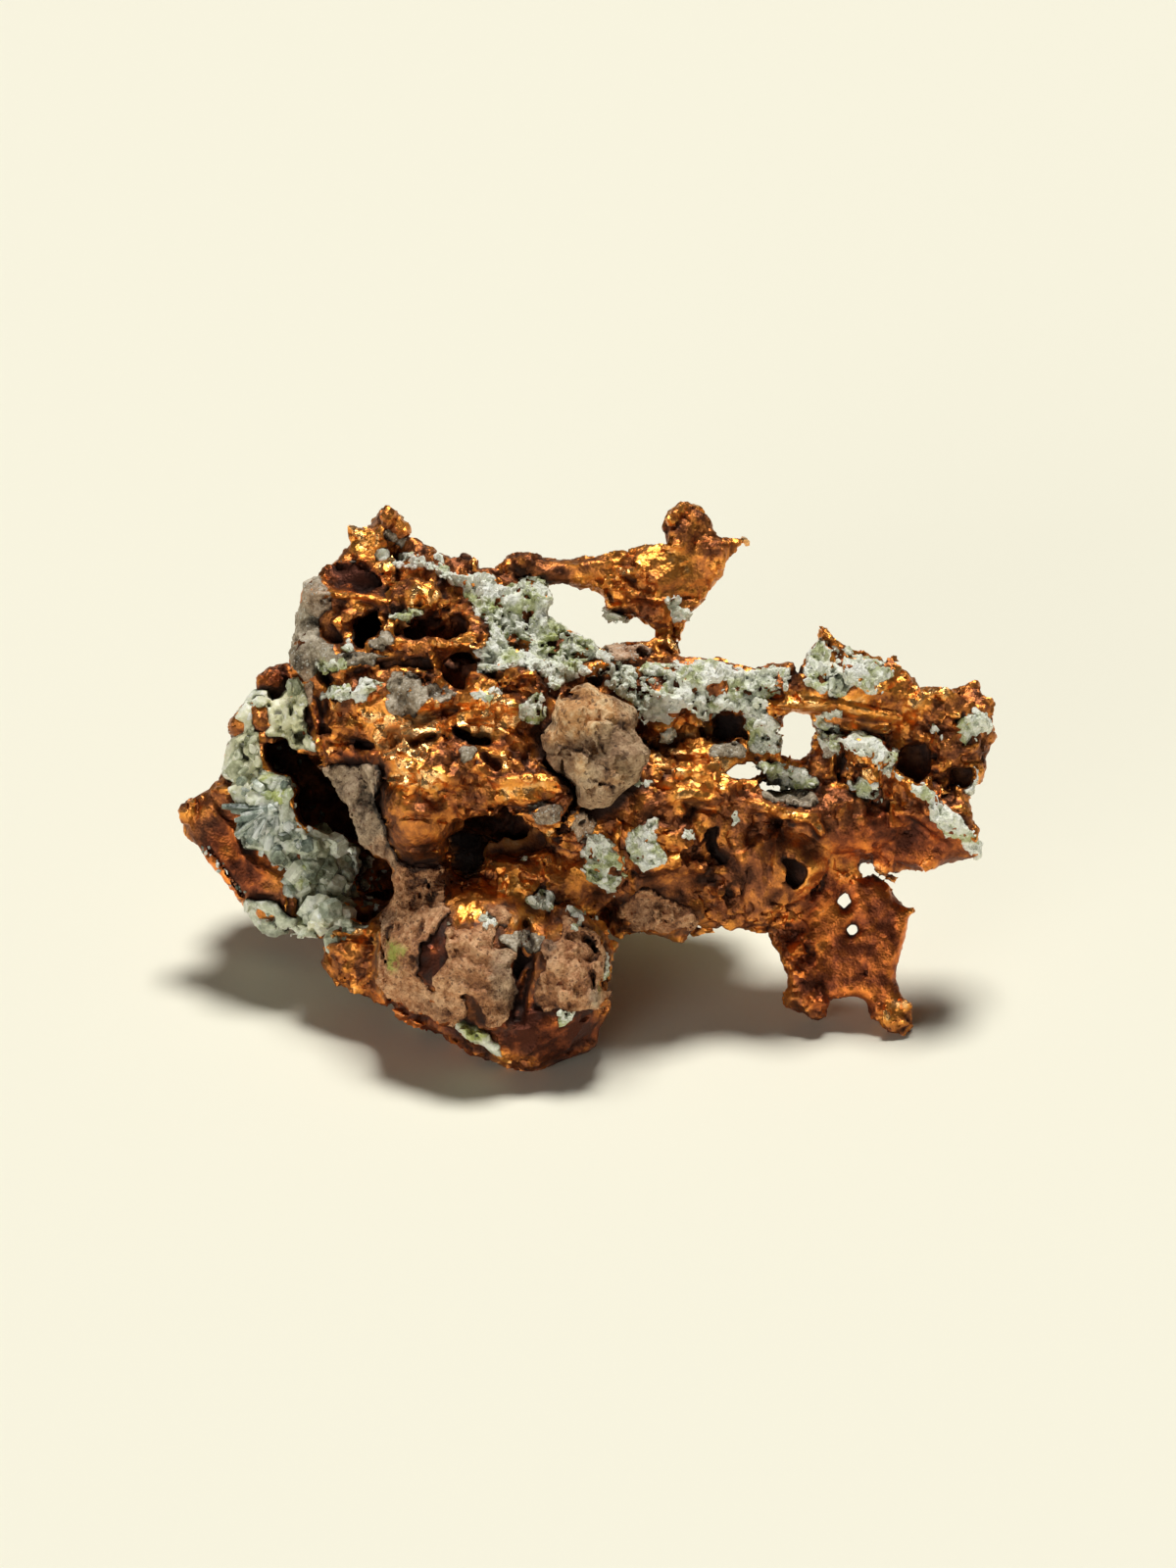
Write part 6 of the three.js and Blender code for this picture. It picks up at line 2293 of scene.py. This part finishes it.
@dataclass
class Knob:
    """The knob of brown rock that the copper grew around, with its crags and pits."""

    body: CopperBody
    material: bpy.types.Material
    outline: tuple = (
        (-2.3, 12.2), (0.1, 12.5), (1.4, 11.4), (2.9, 11.0), (3.9, 10.1), (5.8, 9.2), (6.3, 7.8),
        (5.8, 6.5), (7.5, 5.4), (8.0, 3.5), (6.8, 2.0), (6.2, 0.4), (4.4, -0.7), (2.8, -2.6), (0.3, -3.1),
        (-1.1, -2.6), (-1.4, -0.1), (-4.5, 1.8), (-5.6, 4.1), (-5.8, 6.0), (-4.4, 7.5), (-4.4, 10.1),
    )
    crags: tuple[float, float] = (4.2, 1.0)
    facets: tuple[float, float] = (3.6, 3.4)
    creases: tuple[float, float] = (2.0, 0.4)
    fine: tuple[float, float] = (0.9, 0.2)
    pits: tuple[Stroke, ...] = (
        Stroke(((-2.2, 10.5, 0.3), (-1.2, 10.5, 0.3)), -1.1, 0.6),
        Stroke(((4.3, 7.4, 0.3), (4.4, 6.9, 0.3)), -1.4, 0.6),
        Stroke(((1.6, 9.6, 0.1), (1.0, 6.4, 0.2), (2.2, 3.4, 0.1)), -0.8, 0.5),
        Stroke(((-3.8, 4.6, 0.1), (-0.8, 4.0, 0.2), (2.4, 1.6, 0.1)), -0.8, 0.5),
        Stroke(((0.2, 0.6, 0.2), (3.2, -0.4, 0.2)), -0.7, 0.5),
        Stroke(((3.2, 4.4, 0.2), (3.3, 4.4, 0.2)), -0.6, 0.4),
        Stroke(((-3, 8.6, 0.6), (0.6, 8.8, 0.7), (3.4, 8.4, 0.4)), 0.8, 1.0),
        Stroke(((3.6, 3.2, 0.8), (5.8, 3.8, 0.7)), 0.9, 1.0),
    )
    hues: tuple = (
        ((-0.4, 9.2, 4.2, 3.2), 0.95), ((-3.8, 6.2, 1.9, 1.2), 0.7), ((-1, 2.2, 0.9, 1.3), 0.9),
        ((2.4, 0.4, 2, 1), 0.35), ((5, 8.0, 1.2, 1), 0.4),
    )
    hue: float = 0.22
    taper: float = 2.2
    sharp: float = 34.0

    def __post_init__(self) -> None:
        """Draw the knob's field."""
        grid, canvas = self.body.grid, self.body.canvas
        values = Drawing(grid).grow(1.5, *CopperForms().knob).values
        chosen = self.body.near(values, REACH)
        p = grid.points(chosen)
        raised = self.crags[1] * Noise.layered(p, self.crags[0], 40, 2)
        raised += self.facets[1] * Noise.cells(p, self.facets[0], 41)[2]
        raised += self.creases[1] * (Noise.ridged(p, self.creases[0], 42) - 0.5)
        raised += canvas.at(sum(pit.height * canvas.stroke(pit.stops, pit.edge) for pit in self.pits), p)
        values.flat[chosen] -= raised.astype(np.float32)
        edge = canvas.edge(self.outline, 0.15)
        self.field = cut(values, edge[:, :, None], self.taper)

    def build(self) -> None:
        """Skin the knob, and dress it."""
        body, canvas = self.body, self.body.canvas
        corners, faces = skin(self.field, body.grid.low, body.grid.cell)
        out = body.normals(self.field, corners)
        fine = self.fine[1] * (Noise.ridged(corners, self.fine[0], 43) - 0.5)
        corners = corners + out * fine[:, None].astype(np.float32)
        # Painted shade in the sunk pits: their strokes give the hollow value that the material darkens.
        pits = sum(canvas.stroke(pit.stops, pit.edge) for pit in self.pits if pit.height < 0)
        pits = canvas.at(pits, corners)
        hue = self.hue + canvas.at(canvas.painted(self.hues, 1.2, 1.4), corners)
        obj = new_object("knob_rock", corners, faces, {
            "hollow": 0.75 * np.clip(pits, 0, 1), "hue": np.clip(hue, 0, 1),
            "shade": np.full(len(corners), 0.5),
        })
        dressed(thinned(obj, MOST_TRIANGLES, self.sharp), self.material, Mineral.ROCK)
        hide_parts("rock_knob")


@dataclass(frozen=True)
class Bed:
    """A bed of crystals: where they stand, how many, and how wide, tall, leaning and coloured they are."""

    shapes: tuple
    number: int
    widths: tuple[float, float]
    aspect: float
    lean: float
    hue: float
    clear: float = 0.0


@dataclass
class Druse:
    """The prehnite crystals that line the left hollow, with a fan that spreads from one root."""

    body: CopperBody
    ground: Array
    material: bpy.types.Material
    beds: tuple[Bed, ...] = (
        Bed(((-39.6, -0.6, 3.6, 2.6), (-37.6, -5, 3.0, 4.0, 30), (-36.0, -11.0, 2.4, 4.0, 30)),
            120, (0.8, 2.2), 0.6, 70, 0.05),
        Bed(((-32.6, -9.4, 4.4, 3.0, -20), (-32.2, -14.4, 3.4, 3.6), (-30.6, -17.0, 2.6, 1.0, -5)),
            60, (2.2, 4.6), 0.5, 50, 0.5, 0.3),
        Bed(((-37, 8.6, 2.2, 4.2, -20), (-42.2, 4, 1.6, 4.4)), 14, (1.8, 3.6), 0.25, 20, 0.85, 0.6),
        Bed(((-46.7, -8.2, 0.8, 0.8), (-45, -10.6, 1.6, 0.45, -48), (-43.0, -12.9, 1.5, 0.45, -42)),
            90, (0.3, 0.8), 0.8, 60, 0.0),
        Bed(((-27.0, -12.4, 2.6, 3.2), (-37.6, 3.2, 2.2, 1.6), (-33.6, -4.6, 2.4, 1.4, -20)),
            60, (0.7, 1.6), 0.7, 50, 0.0, -9.0),
    )
    ragged: float = 0.6
    sunk: float = 0.45
    taper: float = 0.72
    fan_root: tuple[float, float] = (-38.4, -3.0)
    fan: tuple[float, float] = (183.0, 262.0)
    fan_tilt: float = -0.12
    blades: int = 54

    def build(self) -> None:
        """Scatter the crystals, spread the fan, and dress them."""
        crystals = Crystals(7)
        scatter = Scatter(self.body, self.ground, 8)
        canvas = self.body.canvas
        moss = moss_on(canvas, 1.0)
        for bed in self.beds:
            places, ways = scatter.over(bed.shapes, bed.number, self.ragged, bed.clear)
            sizes = crystals.random.uniform(*bed.widths, len(places))
            shelter = self.body.shelter(places, ways)
            own = {
                "hue": bed.hue + crystals.random.uniform(-0.15, 0.25, len(places)),
                "moss": canvas.at(moss, places),
                # Painted shade: crystals in hollows and inside the wells are darkened.
                "hollow": np.maximum(0.35 * shelter["hollow"], 0.75 * shelter["dark"]),
            }
            roots = places - ways * sizes[:, None] * self.sunk * bed.aspect / 0.5
            crystals.add(roots, ways, sizes, bed.aspect, bed.lean, self.taper, own)
        angles = np.radians(np.linspace(*self.fan, self.blades))
        root = np.array([*self.fan_root, 0.0], np.float32)
        root[2] = canvas.at(self.body.depth_of(self.ground), root[None])[0] - 0.2
        tilts = np.full(len(angles), self.fan_tilt)
        ends = np.stack([np.cos(angles), np.sin(angles), tilts], axis=1).astype(np.float32)
        starts = root + ends * 0.6 + crystals.random.uniform(-0.7, 0.5, (len(angles), 3))
        crystals.add(starts, ends, crystals.random.uniform(0.9, 1.5, len(angles)), 3.0, 14, 0.7)
        obj = crystals.made("prehnite_druse")
        dressed(obj, self.material, Mineral.PREHNITE)
        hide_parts("prehnite_crust")


@dataclass
class GreenGrains:
    """Loose grains on the green crust, from dust to small lumps."""

    body: CopperBody
    ground: Array
    material: bpy.types.Material
    shapes: tuple = Coats().green.shapes
    number: int = 800
    small: float = 0.3
    large: float = 1.5

    def build(self) -> None:
        """Scatter the grains, and dress them."""
        grains = Crystals(17, 5)
        places, ways = Scatter(self.body, self.ground, 18).over(self.shapes, self.number, 1.0)
        sizes = self.small + (self.large - self.small) * grains.random.uniform(0, 1, len(places)) ** 3
        canvas = self.body.canvas
        own = {
            "moss": canvas.at(moss_on(canvas, 1.2), places),
            "hue": 0.15 * grains.random.uniform(0, 1, len(places)),
        }
        grains.add(places - ways * sizes[:, None] * 0.2, ways, sizes, 0.3, 80, 0.6, own)
        dressed(grains.made("green_grains"), self.material, Mineral.GREEN_CRUST)


@dataclass
class Specimen:
    """The dressed specimen: all the pieces that stand for the solids, and what has grown on them."""

    low: tuple = (-53, -37, -40)
    high: tuple = (54, 37.5, 22)

    def build(self) -> None:
        """Draw the fields from the copper out, and make every piece of them."""
        grid = Grid(self.low, self.high, CELL)
        body = CopperBody(grid, Canvas(grid))
        finishes = Finishes()
        knob = Knob(body, finishes.stone["knob_rock"])
        coats = CoatPieces(body, finishes.stone)
        crusts = np.minimum.reduce(list(coats.fields.values()))
        body.outer = np.minimum(crusts, np.minimum(body.values, knob.field))
        CopperPieces(body, finishes.copper).build()
        coats.build()
        knob.build()
        ground = np.minimum(body.values, coats.fields["prehnite_base"])
        Druse(body, ground, finishes.stone["prehnite_druse"]).build()
        ground = np.minimum(body.values, coats.fields["green_crust"])
        GreenGrains(body, ground, finishes.stone["green_crust"]).build()


@dataclass
class Studio:
    """The pale floor, the soft lights and the camera."""

    aim: tuple[float, float, float] = (0.0002, -0.0007, 0.0272)
    distance: float = 1.0
    picture_height: float = 0.19208
    floor_half: float = 3.0
    floor_colour: tuple = (0.92, 0.90, 0.76)
    floor_cloud: tuple = (0.89, 0.87, 0.74)
    suns: tuple = (
        ("overhead", (0.08, 0.30, 1.0), 3.1, 18.0),
        ("front_left", (-0.50, -0.90, 0.10), 1.3, 36.0),
    )
    light_colour: tuple = (1.0, 0.985, 0.95)
    room: tuple = ((0.42, (0.05, 0.05, 0.05)), (0.60, (0.62, 0.61, 0.59)), (0.70, (1.5, 1.48, 1.42)))
    room_scale: float = 2.6
    room_strength: float = 0.36
    room_falls: tuple[float, float] = (0.05, 0.55)
    room_top: float = 0.12

    def floor(self) -> None:
        """A plain pale floor that runs out past the picture."""
        mesh = bpy.data.meshes.new("floor")
        half = self.floor_half
        corners = [(-half, -half, 0), (half, -half, 0), (half, half, 0), (-half, half, 0)]
        mesh.from_pydata(corners, [], [(0, 1, 2, 3)])
        floor = bpy.data.objects.new("floor", mesh)
        bpy.context.scene.collection.objects.link(floor)
        material, tree, shader = Finish("cream_floor").start()
        cloud = tree.noise(tree.node("TexCoord").outputs["Object"], 6.0, 2)
        colour = tree.mix(tree.math("MULTIPLY", cloud, 0.04), (*self.floor_colour, 1), (*self.floor_cloud, 1))
        tree.feed(shader, {"Base Color": colour, "Roughness": 0.9, "Specular IOR Level": 0.0})
        mesh.materials.append(material)

    def sun(self, name: str, toward: tuple, strength: float, spread: float) -> None:
        """Hang a soft light far away.

        Args:
            name: Its name.
            toward: Where it comes from.
            strength: Its strength.
            spread: How wide it looks, in degrees.
        """
        light = bpy.data.lights.new(name, "SUN")
        light.energy = strength
        light.angle = math.radians(spread)
        light.color = self.light_colour
        obj = bpy.data.objects.new(name, light)
        obj.rotation_euler = Vector(toward).to_track_quat("Z", "Y").to_euler()
        bpy.context.scene.collection.objects.link(obj)

    def lights(self) -> None:
        """Hang the suns, and light the room dimly, with brighter parts that the metal mirrors."""
        for sun in self.suns:
            self.sun(*sun)
        world = bpy.data.worlds.new("room")
        world.use_nodes = True
        tree = Tree(world.node_tree)
        way = tree.node("TexCoord").outputs["Generated"]
        light = tree.noise(way, self.room_scale, 1, 0.4)
        height = tree.node("SeparateXYZ", {0: way}).outputs[2]
        fall = tree.node("MapRange", {
            0: height, 1: self.room_falls[0], 2: self.room_falls[1], 3: self.room_strength,
            4: self.room_strength * self.room_top,
        }).outputs[0]
        tree.feed(world.node_tree.nodes["Background"], {0: tree.ramp(light, self.room), 1: fall})
        bpy.context.scene.world = world
        bpy.context.scene.view_settings.view_transform = "Standard"

    def camera(self) -> None:
        """Set up a long lens at the height that the specimen is seen from."""
        camera = bpy.data.cameras.new("camera")
        camera.sensor_fit = "VERTICAL"
        camera.sensor_height = 36
        camera.lens = camera.sensor_height * self.distance / self.picture_height
        obj = bpy.data.objects.new("camera", camera)
        way = Vector((0, -math.cos(VIEW_ELEVATION), math.sin(VIEW_ELEVATION)))
        obj.location = Vector(self.aim) + way * self.distance
        obj.rotation_euler = way.to_track_quat("Z", "Y").to_euler()
        bpy.context.scene.collection.objects.link(obj)
        bpy.context.scene.camera = obj

    def build(self) -> None:
        """Set the studio up."""
        self.floor()
        self.lights()
        self.camera()


def main() -> None:
    """Build the studio and the specimen."""
    logging.basicConfig(level=logging.INFO, format="%(name)s %(message)s")
    Studio().build()
    Specimen().build()


if __name__ == "__main__":
    main()
